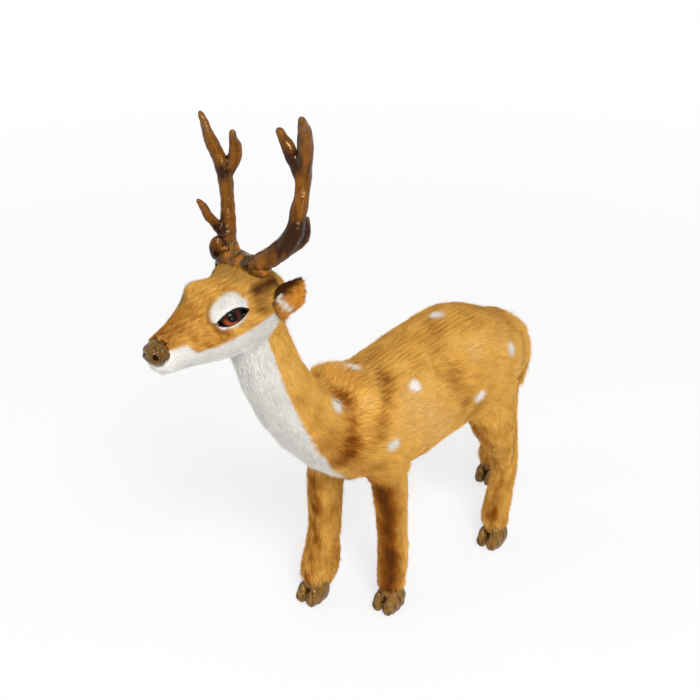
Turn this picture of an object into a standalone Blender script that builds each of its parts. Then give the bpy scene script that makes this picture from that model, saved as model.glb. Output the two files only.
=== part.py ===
"""A small standing stag: rigid cores on steel wires, fur panels glued over them, and moulded trim."""

import math

import bmesh
import bpy
from mathutils import Vector

# Every size is in millimetres and is turned into metres when a mesh is made.
# X points to the animal's left, Y towards its tail and Z up. The hooves stand on Z = 0.
MM = 0.001

# Fits and thicknesses
FIT = 0.3
LEG_FIT = 0.5
BODY_PELT = 4.0
HEAD_PELT = 2.6
LEG_PELT = 2.4
WIRE_RADIUS = 1.5

# Torso: a barrel between two round ends. Each ring has its place along the barrel, its shares of the barrel's
# width and depth, and how far its top lies under the level of the back, or over it where that is negative.
BACK_HEIGHT = 155.5
BARREL_WIDTH = 62.0
BARREL_DEPTH = 70.0
SHOULDER_Y = -80.0
BARREL_LENGTH = 134.0
CHEST_DOME = 17.0
RUMP_DOME = 28.0
BARREL_RINGS = ((0.0, 0.94, 0.935, -6.5), (0.22, 1.0, 1.0, 0.5), (0.5, 0.97, 1.06, -4.5),
                (0.75, 1.0, 1.0, -2.4), (1.0, 0.85, 0.81, 8.5))

# Neck: a bent taper from inside the shoulders to inside the skull
NECK_FOOT_BACK = 10.0
NECK_FOOT_DROP = 42.0
NECK_BEND_REACH = 53.0
NECK_BEND_DROP = 6.0
NECK_REACH = 66.0
NECK_RISE = 68.5
NECK_FOOT_WIDTH = 48.0
NECK_FOOT_DEPTH = 44.0
NECK_TOP_WIDTH = 26.0
NECK_TOP_DEPTH = 31.0
NECK_TAPER = 1.6

# Head: rings from the back of the skull to the muzzle. Each ring has its place along the head, how much of
# the skull, against the muzzle, is in its size, and how far the brow lifts its top.
HEAD_BACK = 6.0
HEAD_LENGTH = 65.0
HEAD_DROP = 5.5
HEAD_SINK = 1.0
SKULL_WIDTH = 37.0
SKULL_DEPTH = 36.0
MUZZLE_WIDTH = 19.0
MUZZLE_DEPTH = 19.0
SKULL_DOME = 14.0
MUZZLE_DOME = 6.0
HEAD_RINGS = ((0.0, 0.9, 0.0), (0.22, 1.0, 1.5), (0.45, 0.92, 4.5), (0.65, 0.54, 3.5), (0.82, 0.2, 1.5),
              (1.0, 0.0, 0.5))

# Nose
NOSE_WIDTH = 12.6
NOSE_HEIGHT = 11.8
NOSE_LENGTH = 7.5
NOSE_DOME = 4.0
NOSE_RISE = 2.5
NOSTRIL_RADIUS = 1.6
NOSTRIL_SPREAD = 3.5
NOSTRIL_SINK = 0.8

# Eyes: the place of the left one on the head, then the sizes of its pieces
EYE_FORWARD = 32.5
EYE_RISE = 8.0
EYE_TILT = 8.0
LENS_RADIUS = 3.1
LENS_HEIGHT = 3.2
LENS_SINK = 1.8
IRIS_THICKNESS = 0.8
LID_LENGTH = 19.0
LID_HEIGHT = 8.4
LID_PROUD = 0.6
PATCH_LENGTH = 22.5
PATCH_HEIGHT = 17.2
PATCH_RISE = 1.4
PATCH_FORWARD = 0.0
EYE_CUT_IN = 5.0
EYE_CUT_OUT = 9.0

# Ears: leaves cupped towards the front, with a smaller lining in the cup
EAR_FORWARD = 3.0
EAR_ANGLE = 12.0
EAR_LENGTH = 15.4
EAR_WIDTH = 17.0
EAR_THICKNESS = 3.4
EAR_CUP = 4.0
EAR_ROOT = 5.0
EAR_OUTLINE = (0.62, 1.5, -2.0)
EAR_POINTS = Vector((0.44, 0.4, 0.8))
EAR_FACES = Vector((0.8, -0.6, 0.0))
LINING_SHARE = 0.6
LINING_THICKNESS = 1.6

# Antlers stand on a bridge across the crown. Points are taken from the crown: X, Y, Z and radius.
CROWN_FORWARD = 9.0
BRIDGE_SPAN = 24.0
BRIDGE_DEPTH = 12.0
BRIDGE_HEIGHT = 10.0
BRIDGE_RISE = 4.5
BRIDGE_DOME = 4.0
PEG_RADIUS = 3.0
PEG_DEPTH = 9.0
SPIGOT_RADIUS = 2.0
SPIGOT_DEPTH = 4.0
SPIGOT_RISE = 7.0
BRIDGE_KNOB = ((-4.0, 0.0, 5.0, 3.4), (-5.0, -1.0, 13.0, 2.2))
TINE_DOME = 1.6
ANTLERS = {
    "left": (
        ((9.0, -2.5, 6.0, 4.6), (18.0, 1.5, 12.5, 5.2), (24.5, 6.5, 20.5, 5.0), (26.5, 10.5, 34.0, 3.9),
         (25.5, 15.5, 50.0, 3.5), (29.0, 12.5, 69.0, 2.8), (32.0, 7.0, 79.5, 1.4)),
        ((25.5, 14.5, 47.0, 3.0), (21.5, 14.0, 55.5, 2.9), (14.5, 11.7, 69.0, 1.4)),
        ((22.0, 7.0, 15.0, 3.4), (26.5, 13.0, 20.0, 3.2), (27.5, 14.5, 29.0, 1.8)),
    ),
    "right": (
        ((-9.0, -0.5, 6.0, 4.4), (-15.0, 5.5, 14.0, 4.2), (-17.5, 8.5, 26.0, 3.5), (-20.0, 9.8, 42.0, 3.6),
         (-25.0, 8.0, 55.0, 2.9), (-32.0, 7.3, 69.0, 1.4)),
        ((-19.8, 9.8, 40.0, 3.0), (-16.5, 14.0, 51.0, 3.0), (-15.0, 11.5, 62.0, 1.3)),
        ((-15.5, 5.0, 13.0, 2.8), (-18.5, 2.0, 17.0, 2.5), (-23.0, -4.8, 31.0, 1.3)),
        ((-12.0, 1.0, 9.0, 4.0), (-16.0, -1.5, 11.5, 2.8)),
    ),
}

# Legs: the axis of each at the ground, then its hip or shoulder in the middle of the torso, then its joints
# from the hoof up. A joint has X, Y and Z, with the half width and half depth of the fur sleeve there. A hip
# has no Z, because the torso gives it.
HOOF_HEIGHT = 16.0
SOLE_WIDTH = 16.2
TOE_REACH = 12.0
HEEL_REACH = 5.0
HOOF_TOP_WIDTH = 14.4
HOOF_TOP_DEPTH = 15.0
CLEFT_WIDTH = 3.0
CLEFT_DEPTH = 8.6
CLEFT_HEIGHT = 13.0
CLEFT_END = 0.4
BORE_FLOOR = 4.0
ANKLE_RISE = 7.0
ANKLE_WIDTH = 13.6
ANKLE_DEPTH = 14.4
LEGS = {
    "front_left": ((17.2, -53.6), (16.0, -60.0, 11.0, 15.0),
                   ((18.4, -54.4, 46.0, 7.5, 8.2), (18.0, -56.6, 76.0, 8.4, 10.0))),
    "front_right": ((-22.0, -75.6), (-16.0, -68.0, 11.0, 15.0),
                    ((-20.2, -69.4, 46.0, 7.8, 9.0), (-18.8, -70.2, 76.0, 8.8, 10.8))),
    "hind_left": ((25.2, 38.6), (15.0, 36.0, 11.5, 24.0),
                  ((25.5, 43.8, 44.0, 6.3, 7.0), (25.0, 45.2, 57.0, 7.2, 8.6),
                   (24.0, 39.0, 78.0, 10.0, 12.6), (21.0, 34.0, 97.0, 11.5, 19.5))),
    "hind_right": ((-19.2, 98.2), (-15.0, 57.0, 11.5, 21.0),
                   ((-19.0, 106.5, 37.0, 6.3, 7.0), (-18.6, 109.0, 51.0, 7.2, 8.6),
                    (-18.4, 102.0, 74.0, 9.6, 12.2), (-18.2, 87.0, 94.0, 11.0, 16.5))),
}

# Tail: X, Y from the end of the rump, Z from the back, half width and half depth
TAIL_DOME = 4.0
TAIL_RINGS = ((0.0, -12.0, -22.0, 7.5, 5.0), (0.0, 1.0, -32.0, 8.5, 5.5), (0.0, 9.0, -49.0, 8.0, 5.0),
              (0.0, 8.5, -68.0, 5.0, 3.4))

# The seam between white and tan fur in side view: back along the muzzle and cheek, taken from the back of
# the skull, then down the neck to the chest, taken from the top of the shoulder
CHEEK_SEAM = ((-90.0, -2.0), (-57.0, 1.0), (-51.0, -7.0), (-30.0, -5.0), (-12.0, -2.0), (-6.0, -14.0))
THROAT_SEAM = ((-57.0, 16.5), (-45.0, -10.5), (-16.0, -43.5), (14.0, -48.0))
SEAM_FLOOR = 40.0
SEAM_HALF_WIDTH = 60.0

# Facets
TORSO_SIDES = 20
HEAD_SIDES = 16
NECK_SIDES = 16
LEG_SIDES = 12
TRIM_SIDES = 10
WIRE_SIDES = 8
RING_STEPS = 2
NECK_STEPS = 6
EAR_STEPS = 5
ANTLER_STEPS = 3
ROUND_POINTS = 18
DOME_ANGLES = (35.0, 65.0)
SMOOTH_ANGLE = math.radians(40.0)

# Materials: colour, roughness and metallic value
TAN_FUR = ("tan_fur", (0.58, 0.29, 0.07), 0.9, 0.0)
WHITE_FUR = ("white_fur", (0.82, 0.81, 0.78), 0.9, 0.0)
RESIN = ("antler_resin", (0.19, 0.07, 0.016), 0.25, 0.0)
HOOF_PLASTIC = ("hoof_plastic", (0.12, 0.05, 0.02), 0.25, 0.0)
LID_PLASTIC = ("black_plastic", (0.01, 0.01, 0.01), 0.3, 0.0)
LENS_PLASTIC = ("clear_plastic", (0.8, 0.8, 0.8), 0.05, 0.0)
IRIS_PAINT = ("iris_paint", (0.25, 0.05, 0.01), 0.4, 0.0)
CORE_FOAM = ("rigid_foam", (0.75, 0.72, 0.65), 0.8, 0.0)
STEEL = ("steel_wire", (0.5, 0.5, 0.5), 0.35, 1.0)

X_AXIS = Vector((1.0, 0.0, 0.0))
Y_AXIS = Vector((0.0, 1.0, 0.0))
Z_AXIS = Vector((0.0, 0.0, 1.0))
PIECES = []


def smooth(rows, steps):
    """Rows of numbers with the points of a smooth curve added between each two."""
    result = []
    last = len(rows) - 1
    for i in range(last):
        corners = list(zip(rows[max(i - 1, 0)], rows[i], rows[i + 1], rows[min(i + 2, last)]))
        for k in range(steps):
            t = k / steps
            row = []
            for a, b, c, d in corners:
                bend = (2 * a - 5 * b + 4 * c - d) * t * t + (3 * b - a - 3 * c + d) * t ** 3
                row.append(0.5 * (2 * b + (c - a) * t + bend))
            result.append(tuple(row))
    result.append(tuple(rows[last]))
    return result


def new_object(name, mesh_data):
    """Close a bmesh given in millimetres into an object in metres."""
    bmesh.ops.recalc_face_normals(mesh_data, faces=mesh_data.faces[:])
    bmesh.ops.scale(mesh_data, vec=(MM, MM, MM), verts=mesh_data.verts[:])
    mesh = bpy.data.meshes.new(name)
    mesh_data.to_mesh(mesh)
    mesh_data.free()
    body = bpy.data.objects.new(name, mesh)
    bpy.context.scene.collection.objects.link(body)
    return body


def ring_points(centre, normal, across, half_width, half_depth, sides):
    """An ellipse of points round a centre, square to a direction."""
    wide = (across - normal * across.dot(normal)).normalized()
    deep = normal.cross(wide)
    points = []
    for k in range(sides):
        angle = 2 * math.pi * k / sides
        points.append(centre + wide * half_width * math.cos(angle) + deep * half_depth * math.sin(angle))
    return points


def skin(name, rings, start_pole=None, end_pole=None):
    """Join rings of points into one closed body, each end flat or drawn to a pole."""
    data = bmesh.new()
    loops = [[data.verts.new(point) for point in ring] for ring in rings]
    sides = len(rings[0])
    for low, high in zip(loops, loops[1:]):
        for k in range(sides):
            n = (k + 1) % sides
            data.faces.new((low[k], low[n], high[n], high[k]))
    for loop, pole in ((loops[0], start_pole), (loops[-1], end_pole)):
        if pole is None:
            data.faces.new(loop)
            continue
        tip = data.verts.new(pole)
        for k in range(sides):
            data.faces.new((loop[k], loop[(k + 1) % sides], tip))
    return new_object(name, data)


def loft(name, rows, sides, across=X_AXIS, domes=(0.0, 0.0), grow=0.0, reach=0.0, normal=None, first=None):
    """A body through rows of X, Y, Z, half width and half depth.

    A dome rounds an end off over its length. Grow moves the surface out, and reach lengthens flat ends.
    The rings lie square to the path, unless one direction is given for all of them or for the first.
    """
    centres = [Vector(row[:3]) for row in rows]
    last = len(centres) - 1
    normals = []
    for i in range(last + 1):
        along = centres[min(i + 1, last)] - centres[max(i - 1, 0)]
        normals.append(normal or along.normalized())
    normals[0] = first or normals[0]
    rings = []
    for row, centre, direction in zip(rows, centres, normals):
        rings.append(ring_points(centre, direction, across, row[3] + grow, row[4] + grow, sides))
    poles = []
    for end, sign in ((0, -1.0), (last, 1.0)):
        out = normals[end] * sign
        length = domes[0 if end == 0 else 1]
        if not length:
            rings[end] = [point + out * reach for point in rings[end]]
            poles.append(None)
            continue
        length += grow
        for angle in map(math.radians, DOME_ANGLES):
            size = math.cos(angle)
            half_width = (rows[end][3] + grow) * size
            half_depth = (rows[end][4] + grow) * size
            centre = centres[end] + out * length * math.sin(angle)
            ring = ring_points(centre, normals[end], across, half_width, half_depth, sides)
            rings.insert(0 if end == 0 else len(rings), ring)
        poles.append(centres[end] + out * length)
    return skin(name, rings, poles[0], poles[1])


def prism(name, outline, origin, right, up, out, low, high):
    """An outline of flat points, placed at an origin and drawn out between two heights."""
    rings = []
    for height in (low, high):
        rings.append([origin + right * u + up * v + out * height for u, v in outline])
    return skin(name, rings)


def combine(body, tools, operation="DIFFERENCE"):
    """Cut a body by tools, or join or intersect it with them."""
    for tool in tools:
        step = body.modifiers.new(tool.name, "BOOLEAN")
        step.operation = operation
        step.solver = "EXACT"
        step.object = tool
    scene_state = bpy.context.evaluated_depsgraph_get()
    body.data = bpy.data.meshes.new_from_object(body.evaluated_get(scene_state))
    body.modifiers.clear()
    return body


def keep(body, name, finish):
    """Name a finished piece, put its origin at its middle and give it its material."""
    material_name, colour, roughness, metallic = finish
    material = bpy.data.materials.new(name + "_" + material_name)
    material.use_nodes = True
    shader = material.node_tree.nodes["Principled BSDF"]
    shader.inputs["Base Color"].default_value = (*colour, 1.0)
    shader.inputs["Roughness"].default_value = roughness
    shader.inputs["Metallic"].default_value = metallic
    body.name = name
    body.data.name = name
    body.data.materials.clear()
    body.data.materials.append(material)
    body.data.shade_smooth()
    body.data.set_sharp_from_angle(angle=SMOOTH_ANGLE)
    corners = [Vector(vertex.co) for vertex in body.data.vertices]
    middle = Vector([(min(c[i] for c in corners) + max(c[i] for c in corners)) / 2 for i in range(3)])
    for vertex in body.data.vertices:
        vertex.co -= middle
    body.location = middle
    PIECES.append(body)
    return body


def torso_form(name, grow=0.0):
    rows = []
    for place, width, depth, drop in smooth(BARREL_RINGS, RING_STEPS):
        half_depth = BARREL_DEPTH * depth / 2
        middle = BACK_HEIGHT - drop - half_depth
        rows.append((0.0, SHOULDER_Y + place * BARREL_LENGTH, middle, BARREL_WIDTH * width / 2, half_depth))
    return loft(name, rows, TORSO_SIDES, domes=(CHEST_DOME, RUMP_DOME), grow=grow, normal=Y_AXIS)


def neck_line():
    """Rows from the foot of the neck to its top, along a bent line."""
    foot = Vector((0.0, SHOULDER_Y + NECK_FOOT_BACK, BACK_HEIGHT - NECK_FOOT_DROP))
    bend = Vector((0.0, SHOULDER_Y - NECK_BEND_REACH, BACK_HEIGHT - NECK_BEND_DROP))
    top = Vector((0.0, SHOULDER_Y - NECK_REACH, BACK_HEIGHT + NECK_RISE))
    rows = []
    for k in range(NECK_STEPS + 1):
        t = k / NECK_STEPS
        point = foot * (1 - t) ** 2 + bend * 2 * t * (1 - t) + top * t * t
        share = (1 - t) ** NECK_TAPER
        half_width = (NECK_TOP_WIDTH + (NECK_FOOT_WIDTH - NECK_TOP_WIDTH) * share) / 2
        half_depth = (NECK_TOP_DEPTH + (NECK_FOOT_DEPTH - NECK_TOP_DEPTH) * share) / 2
        rows.append((*point, half_width, half_depth))
    return rows


def neck_form(name, grow=0.0, reach=0.0):
    return loft(name, neck_line(), NECK_SIDES, grow=grow, reach=reach)


def head_start():
    return Vector((0.0, SHOULDER_Y - NECK_REACH + HEAD_BACK, BACK_HEIGHT + NECK_RISE - HEAD_SINK))


def head_rows():
    rows = []
    start = head_start()
    for place, skull, brow in smooth(HEAD_RINGS, RING_STEPS):
        half_width = (MUZZLE_WIDTH + (SKULL_WIDTH - MUZZLE_WIDTH) * skull) / 2
        half_depth = (MUZZLE_DEPTH + (SKULL_DEPTH - MUZZLE_DEPTH) * skull + brow) / 2
        middle = start.z - place * HEAD_DROP + brow / 2
        rows.append((0.0, start.y - place * HEAD_LENGTH, middle, half_width, half_depth))
    return rows


def head_form(name, grow=0.0):
    return loft(name, head_rows(), HEAD_SIDES, domes=(SKULL_DOME, MUZZLE_DOME), grow=grow, normal=-Y_AXIS)


def head_surface(forward, angle):
    """The point of the head that lies a way forward, at an angle up from the animal's left."""
    rows = head_rows()
    y = head_start().y - forward
    for back, front in zip(rows, rows[1:]):
        if front[1] <= y:
            break
    share = (back[1] - y) / (back[1] - front[1])
    middle, half_width, half_depth = (back[i] + (front[i] - back[i]) * share for i in (2, 3, 4))
    return Vector((half_width * math.cos(angle), y, middle + half_depth * math.sin(angle)))


def head_normal(forward, angle):
    """The direction square to the head's surface at that point."""
    step = 0.5
    along = head_surface(forward + step, angle) - head_surface(forward - step, angle)
    turn = math.radians(step)
    around = head_surface(forward, angle + turn) - head_surface(forward, angle - turn)
    return around.cross(along).normalized()


def mirrored(vector, side):
    return Vector((vector.x * (1.0 if side == "left" else -1.0), vector.y, vector.z))


def leg_rows(leg):
    """Rows of a leg's sleeve from the top of its hoof to inside the torso."""
    (x, y), (hip_x, hip_y, hip_width, hip_depth), joints = LEGS[leg]
    low = HOOF_HEIGHT + FIT
    rows = [(x, y, low, ANKLE_WIDTH / 2, ANKLE_DEPTH / 2)]
    rows.append((x, y, low + ANKLE_RISE, ANKLE_WIDTH / 2, ANKLE_DEPTH / 2))
    rows.extend(joints)
    rows.append((hip_x, hip_y, BACK_HEIGHT - BARREL_DEPTH / 2, hip_width, hip_depth))
    return smooth(rows, RING_STEPS)


def leg_wire_form(name, leg, grow=0.0):
    rows = [(row[0], row[1], row[2], WIRE_RADIUS, WIRE_RADIUS) for row in leg_rows(leg)]
    rows[0] = (rows[0][0], rows[0][1], BORE_FLOOR, WIRE_RADIUS, WIRE_RADIUS)
    return loft(name, rows[:1] + rows[RING_STEPS:], WIRE_SIDES, grow=grow, reach=grow, first=Z_AXIS)


def neck_wire_form(name, grow=0.0):
    rows = [(*row[:3], WIRE_RADIUS, WIRE_RADIUS) for row in neck_line()]
    return loft(name, rows, WIRE_SIDES, grow=grow, reach=grow)


def white_zone(name, shift=0.0):
    """The room in front of the seam, where the fur is white. A shift moves the seam back and up."""
    skull = head_start()
    seam = [(skull.y + y, skull.z + z) for y, z in CHEEK_SEAM]
    seam += [(SHOULDER_Y + y, BACK_HEIGHT + z) for y, z in THROAT_SEAM]
    outline = [(y + shift, z + shift) for y, z in seam]
    outline.append((outline[-1][0], SEAM_FLOOR))
    outline.append((outline[0][0], SEAM_FLOOR))
    return prism(name, outline, Vector(), Y_AXIS, Z_AXIS, X_AXIS, -SEAM_HALF_WIDTH, SEAM_HALF_WIDTH)


def eye_frame(side):
    """An eye's place on the head with its directions: forwards along the lid, up and out."""
    rows = head_rows()
    level = min(rows, key=lambda row: abs(row[1] - head_start().y + EYE_FORWARD))
    angle = math.asin(EYE_RISE / level[4])
    place = head_surface(EYE_FORWARD, angle)
    out = head_normal(EYE_FORWARD, angle)
    flat = (-Y_AXIS - out * out.dot(-Y_AXIS)).normalized()
    rise = out.cross(flat)
    rise = rise if rise.z > 0 else -rise
    tilt = math.radians(EYE_TILT)
    forward = flat * math.cos(tilt) - rise * math.sin(tilt)
    up = flat * math.sin(tilt) + rise * math.cos(tilt)
    return tuple(mirrored(vector, side) for vector in (place, forward, up, out))


def almond(length, height):
    """A pointed oval."""
    points = []
    for k in range(ROUND_POINTS):
        angle = 2 * math.pi * k / ROUND_POINTS
        across = math.sin(angle) * abs(math.sin(angle))
        points.append((length / 2 * math.cos(angle), height / 2 * across))
    return points


def oval(length, height, forward=0.0, rise=0.0):
    points = []
    for k in range(ROUND_POINTS):
        angle = 2 * math.pi * k / ROUND_POINTS
        points.append((forward + length / 2 * math.cos(angle), rise + height / 2 * math.sin(angle)))
    return points


def build_torso():
    leg_wire_rooms = [leg_wire_form("wire_room_" + leg, leg, FIT) for leg in LEGS]
    pelt = torso_form("torso_shell")
    hollow = torso_form("torso_hollow", -BODY_PELT)
    combine(pelt, [hollow, neck_form("torso_neck_room", -BODY_PELT)] + leg_wire_rooms)
    keep(pelt, "torso_pelt", TAN_FUR)
    core = torso_form("torso_form", -BODY_PELT - FIT)
    combine(core, [neck_wire_form("torso_wire_room", FIT)] + leg_wire_rooms)
    keep(core, "torso_core", CORE_FOAM)


def build_neck():
    """A core on a wire, with a tan panel behind the seam and a white one in front of it."""
    hollow = neck_form("neck_hollow", -BODY_PELT, BODY_PELT)
    rooms = (hollow, torso_form("neck_torso_room", FIT), head_form("neck_head_room", FIT))
    throat = combine(neck_form("throat_shell"), [white_zone("throat_zone")], "INTERSECT")
    keep(combine(throat, rooms), "throat_pelt", WHITE_FUR)
    pelt = combine(neck_form("neck_shell"), [white_zone("throat_room", FIT)])
    keep(combine(pelt, rooms), "neck_pelt", TAN_FUR)
    core = neck_form("neck_form", -BODY_PELT - FIT)
    torso_room = torso_form("neck_seat", -BODY_PELT)
    head_room = head_form("neck_top_seat", -HEAD_PELT)
    combine(core, (torso_room, head_room, neck_wire_form("neck_wire_room", FIT)))
    keep(core, "neck_core", CORE_FOAM)
    keep(neck_wire_form("neck_wire_form"), "neck_wire", STEEL)


def build_head():
    """A core with eye sockets, under a tan panel above the seam and a white one below it."""
    nose_room = nose_form("nose_room", FIT)
    peg_room = crown_peg("crown_peg_room", FIT)
    eye_rooms = [build_eye(side) for side in ("left", "right")]
    sockets = [socket for socket, _ in eye_rooms]
    hollow = head_form("head_hollow", -HEAD_PELT)
    rooms = [hollow, neck_form("head_neck_room", -BODY_PELT), nose_room, peg_room]
    rooms += [patch_room for _, patch_room in eye_rooms]
    muzzle = combine(head_form("muzzle_shell"), [white_zone("muzzle_zone")], "INTERSECT")
    keep(combine(muzzle, rooms), "muzzle_pelt", WHITE_FUR)
    pelt = combine(head_form("head_shell"), [white_zone("muzzle_room", FIT)])
    keep(combine(pelt, rooms), "head_pelt", TAN_FUR)
    core = head_form("head_form", -HEAD_PELT - FIT)
    combine(core, [neck_wire_form("head_wire_room", FIT), nose_room, peg_room] + sockets)
    keep(core, "head_core", CORE_FOAM)


def build_eye(side):
    """White fur, lid, lens and iris of one eye. Returns the cuts for its socket and for its white fur."""
    place, forward, up, out = frame = eye_frame(side)
    patch_oval = oval(PATCH_LENGTH, PATCH_HEIGHT, PATCH_FORWARD, PATCH_RISE)
    room_oval = oval(PATCH_LENGTH + 2 * FIT, PATCH_HEIGHT + 2 * FIT, PATCH_FORWARD, PATCH_RISE)
    lid_almond = almond(LID_LENGTH, LID_HEIGHT)
    lid_room_almond = almond(LID_LENGTH + 2 * FIT, LID_HEIGHT + 2 * FIT)
    lens_hole = oval(2 * (LENS_RADIUS + FIT), 2 * (LENS_RADIUS + FIT))
    iris_top = -LENS_SINK - FIT
    socket_floor = iris_top - IRIS_THICKNESS - FIT
    socket = prism("socket_" + side, lens_hole, *frame, socket_floor, EYE_CUT_OUT)
    lid_room = prism("lid_room_" + side, lid_room_almond, *frame, -EYE_CUT_IN - FIT, EYE_CUT_OUT + FIT)
    patch_room = prism("patch_room_" + side, room_oval, *frame, -EYE_CUT_IN - FIT, EYE_CUT_OUT + FIT)
    seat = head_form("eye_seat_" + side, -HEAD_PELT)

    patch = prism("patch_" + side, patch_oval, *frame, -EYE_CUT_IN, EYE_CUT_OUT)
    combine(patch, [head_form("patch_skin_" + side)], "INTERSECT")
    keep(combine(patch, (seat, lid_room)), "eye_patch_" + side, WHITE_FUR)
    lid = prism("lid_" + side, lid_almond, *frame, -EYE_CUT_IN, EYE_CUT_OUT)
    combine(lid, [head_form("lid_skin_" + side, LID_PROUD)], "INTERSECT")
    keep(combine(lid, (seat, socket)), "eye_rim_" + side, LID_PLASTIC)

    disc = oval(2 * LENS_RADIUS, 2 * LENS_RADIUS)
    iris = prism("iris_" + side, disc, *frame, iris_top - IRIS_THICKNESS, iris_top)
    keep(iris, "eye_iris_" + side, IRIS_PAINT)
    base = place - out * LENS_SINK
    rows = [(*base, LENS_RADIUS, LENS_RADIUS), (*(base + out * FIT), LENS_RADIUS, LENS_RADIUS)]
    lens = loft("lens_" + side, rows, ROUND_POINTS, across=forward, domes=(0.0, LENS_HEIGHT - FIT))
    keep(lens, "eye_lens_" + side, LENS_PLASTIC)
    return socket, patch_room


def nose_form(name, grow=0.0):
    middle = Vector(head_rows()[-1][:3]) + Z_AXIS * NOSE_RISE
    back = middle + Y_AXIS * NOSE_LENGTH / 2
    front = middle - Y_AXIS * NOSE_LENGTH / 2
    sizes = (NOSE_WIDTH / 2, NOSE_HEIGHT / 2)
    rows = ((*back, *sizes), (*front, *sizes))
    return loft(name, rows, HEAD_SIDES, domes=(NOSE_DOME, NOSE_DOME), grow=grow)


def build_nose():
    nose = nose_form("nose")
    reach = NOSE_LENGTH / 2 + NOSE_DOME - NOSTRIL_SINK
    front = Vector(head_rows()[-1][:3]) + Z_AXIS * NOSE_RISE - Y_AXIS * reach
    nostrils = []
    for sign in (-1.0, 1.0):
        centre = front + X_AXIS * sign * NOSTRIL_SPREAD
        start = centre + Y_AXIS * NOSTRIL_RADIUS
        end = centre - Y_AXIS * NOSTRIL_RADIUS
        rows = ((*start, NOSTRIL_RADIUS, NOSTRIL_RADIUS), (*end, NOSTRIL_RADIUS, NOSTRIL_RADIUS))
        nostrils.append(loft("nostril", rows, TRIM_SIDES, domes=(NOSTRIL_RADIUS, NOSTRIL_RADIUS)))
    keep(combine(nose, nostrils), "nose_pad", HOOF_PLASTIC)


def crown():
    return head_surface(CROWN_FORWARD, math.pi / 2)


def crown_peg(name, grow=0.0):
    top = crown() + Z_AXIS * BRIDGE_RISE
    bottom = crown() - Z_AXIS * PEG_DEPTH
    rows = ((*bottom, PEG_RADIUS, PEG_RADIUS), (*top, PEG_RADIUS, PEG_RADIUS))
    return loft(name, rows, TRIM_SIDES, grow=grow, reach=grow)


def bridge_form(name, grow=0.0):
    middle = crown() + Z_AXIS * BRIDGE_RISE
    rows = []
    for sign in (-1.0, 1.0):
        rows.append((*(middle + X_AXIS * sign * BRIDGE_SPAN / 2), BRIDGE_DEPTH / 2, BRIDGE_HEIGHT / 2))
    return loft(name, rows, TRIM_SIDES, across=Y_AXIS, domes=(BRIDGE_DOME, BRIDGE_DOME), grow=grow)


def branch_form(name, points, grow=0.0):
    rows = []
    for x, y, z, radius in smooth(points, ANTLER_STEPS):
        rows.append((*(crown() + Vector((x, y, z))), radius, radius))
    return loft(name, rows, TRIM_SIDES, across=Y_AXIS, domes=(TINE_DOME, TINE_DOME), grow=grow)


def spigot_form(name, side, grow=0.0):
    """The pin at the foot of an antler's beam, which plugs into the bridge."""
    foot = Vector(ANTLERS[side][0][0][:3])
    along = (Vector(ANTLERS[side][0][1][:3]) - foot).normalized()
    low = crown() + foot - along * SPIGOT_DEPTH
    high = crown() + foot + along * SPIGOT_RISE
    rows = ((*low, SPIGOT_RADIUS, SPIGOT_RADIUS), (*high, SPIGOT_RADIUS, SPIGOT_RADIUS))
    return loft(name, rows, WIRE_SIDES, across=Y_AXIS, grow=grow, reach=grow)


def build_antlers():
    bridge = combine(bridge_form("bridge"), [head_form("crown_room", FIT)])
    combine(bridge, (crown_peg("crown_peg"), branch_form("knob", BRIDGE_KNOB)), "UNION")
    knob_room = branch_form("knob_room", BRIDGE_KNOB, FIT)
    bridge_room = combine(bridge_form("bridge_room", FIT), [knob_room], "UNION")
    combine(bridge, [spigot_form("spigot_room_" + side, side, FIT) for side in ANTLERS])
    keep(bridge, "antler_bridge", RESIN)
    for side, branches in ANTLERS.items():
        parts = [branch_form("branch_" + side, points) for points in branches]
        antler = combine(parts[0], parts[1:], "UNION")
        combine(antler, (bridge_room, head_form("antler_head_room_" + side, FIT)))
        combine(antler, [spigot_form("spigot_" + side, side)], "UNION")
        keep(antler, "antler_" + side, RESIN)


def ear_width(share):
    """The ear's half width at a share of its length: narrow root, full middle, pointed tip."""
    root, swell, taper = EAR_OUTLINE
    return EAR_WIDTH / 2 * (root + swell * share + taper * share * share)


def leaf(name, side, length, width_share, thickness, lift):
    """A cupped leaf on the side of the head, lifted from the ear's middle surface towards its open side."""
    angle = math.radians(EAR_ANGLE)
    root = head_surface(EAR_FORWARD, angle)
    along = EAR_POINTS.normalized()
    faces = (EAR_FACES - along * EAR_FACES.dot(along)).normalized()
    across = along.cross(faces)
    rings = []
    for k in range(EAR_STEPS + 1):
        place = -EAR_ROOT + (length + EAR_ROOT) * k / EAR_STEPS
        half_width = ear_width(max(place, 0.0) / EAR_LENGTH) * width_share
        ring = []
        for n in range(LEG_SIDES):
            turn = 2 * math.pi * n / LEG_SIDES
            cup = EAR_CUP * (width_share * math.cos(turn)) ** 2
            rise = lift + cup + thickness / 2 * math.sin(turn)
            point = root + along * place + across * half_width * math.cos(turn) + faces * rise
            ring.append(mirrored(point, side))
        rings.append(ring)
    return skin(name, rings)


def build_ears():
    for side in ("left", "right"):
        head_room = head_form("ear_room_" + side, FIT)
        ear = combine(leaf("ear", side, EAR_LENGTH, 1.0, EAR_THICKNESS, 0.0), [head_room])
        keep(ear, "ear_" + side, TAN_FUR)
        lift = EAR_THICKNESS / 2 + FIT + LINING_THICKNESS / 2
        lining = leaf("lining", side, EAR_LENGTH * LINING_SHARE, LINING_SHARE, LINING_THICKNESS, lift)
        keep(combine(lining, [head_room]), "ear_lining_" + side, WHITE_FUR)


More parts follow.
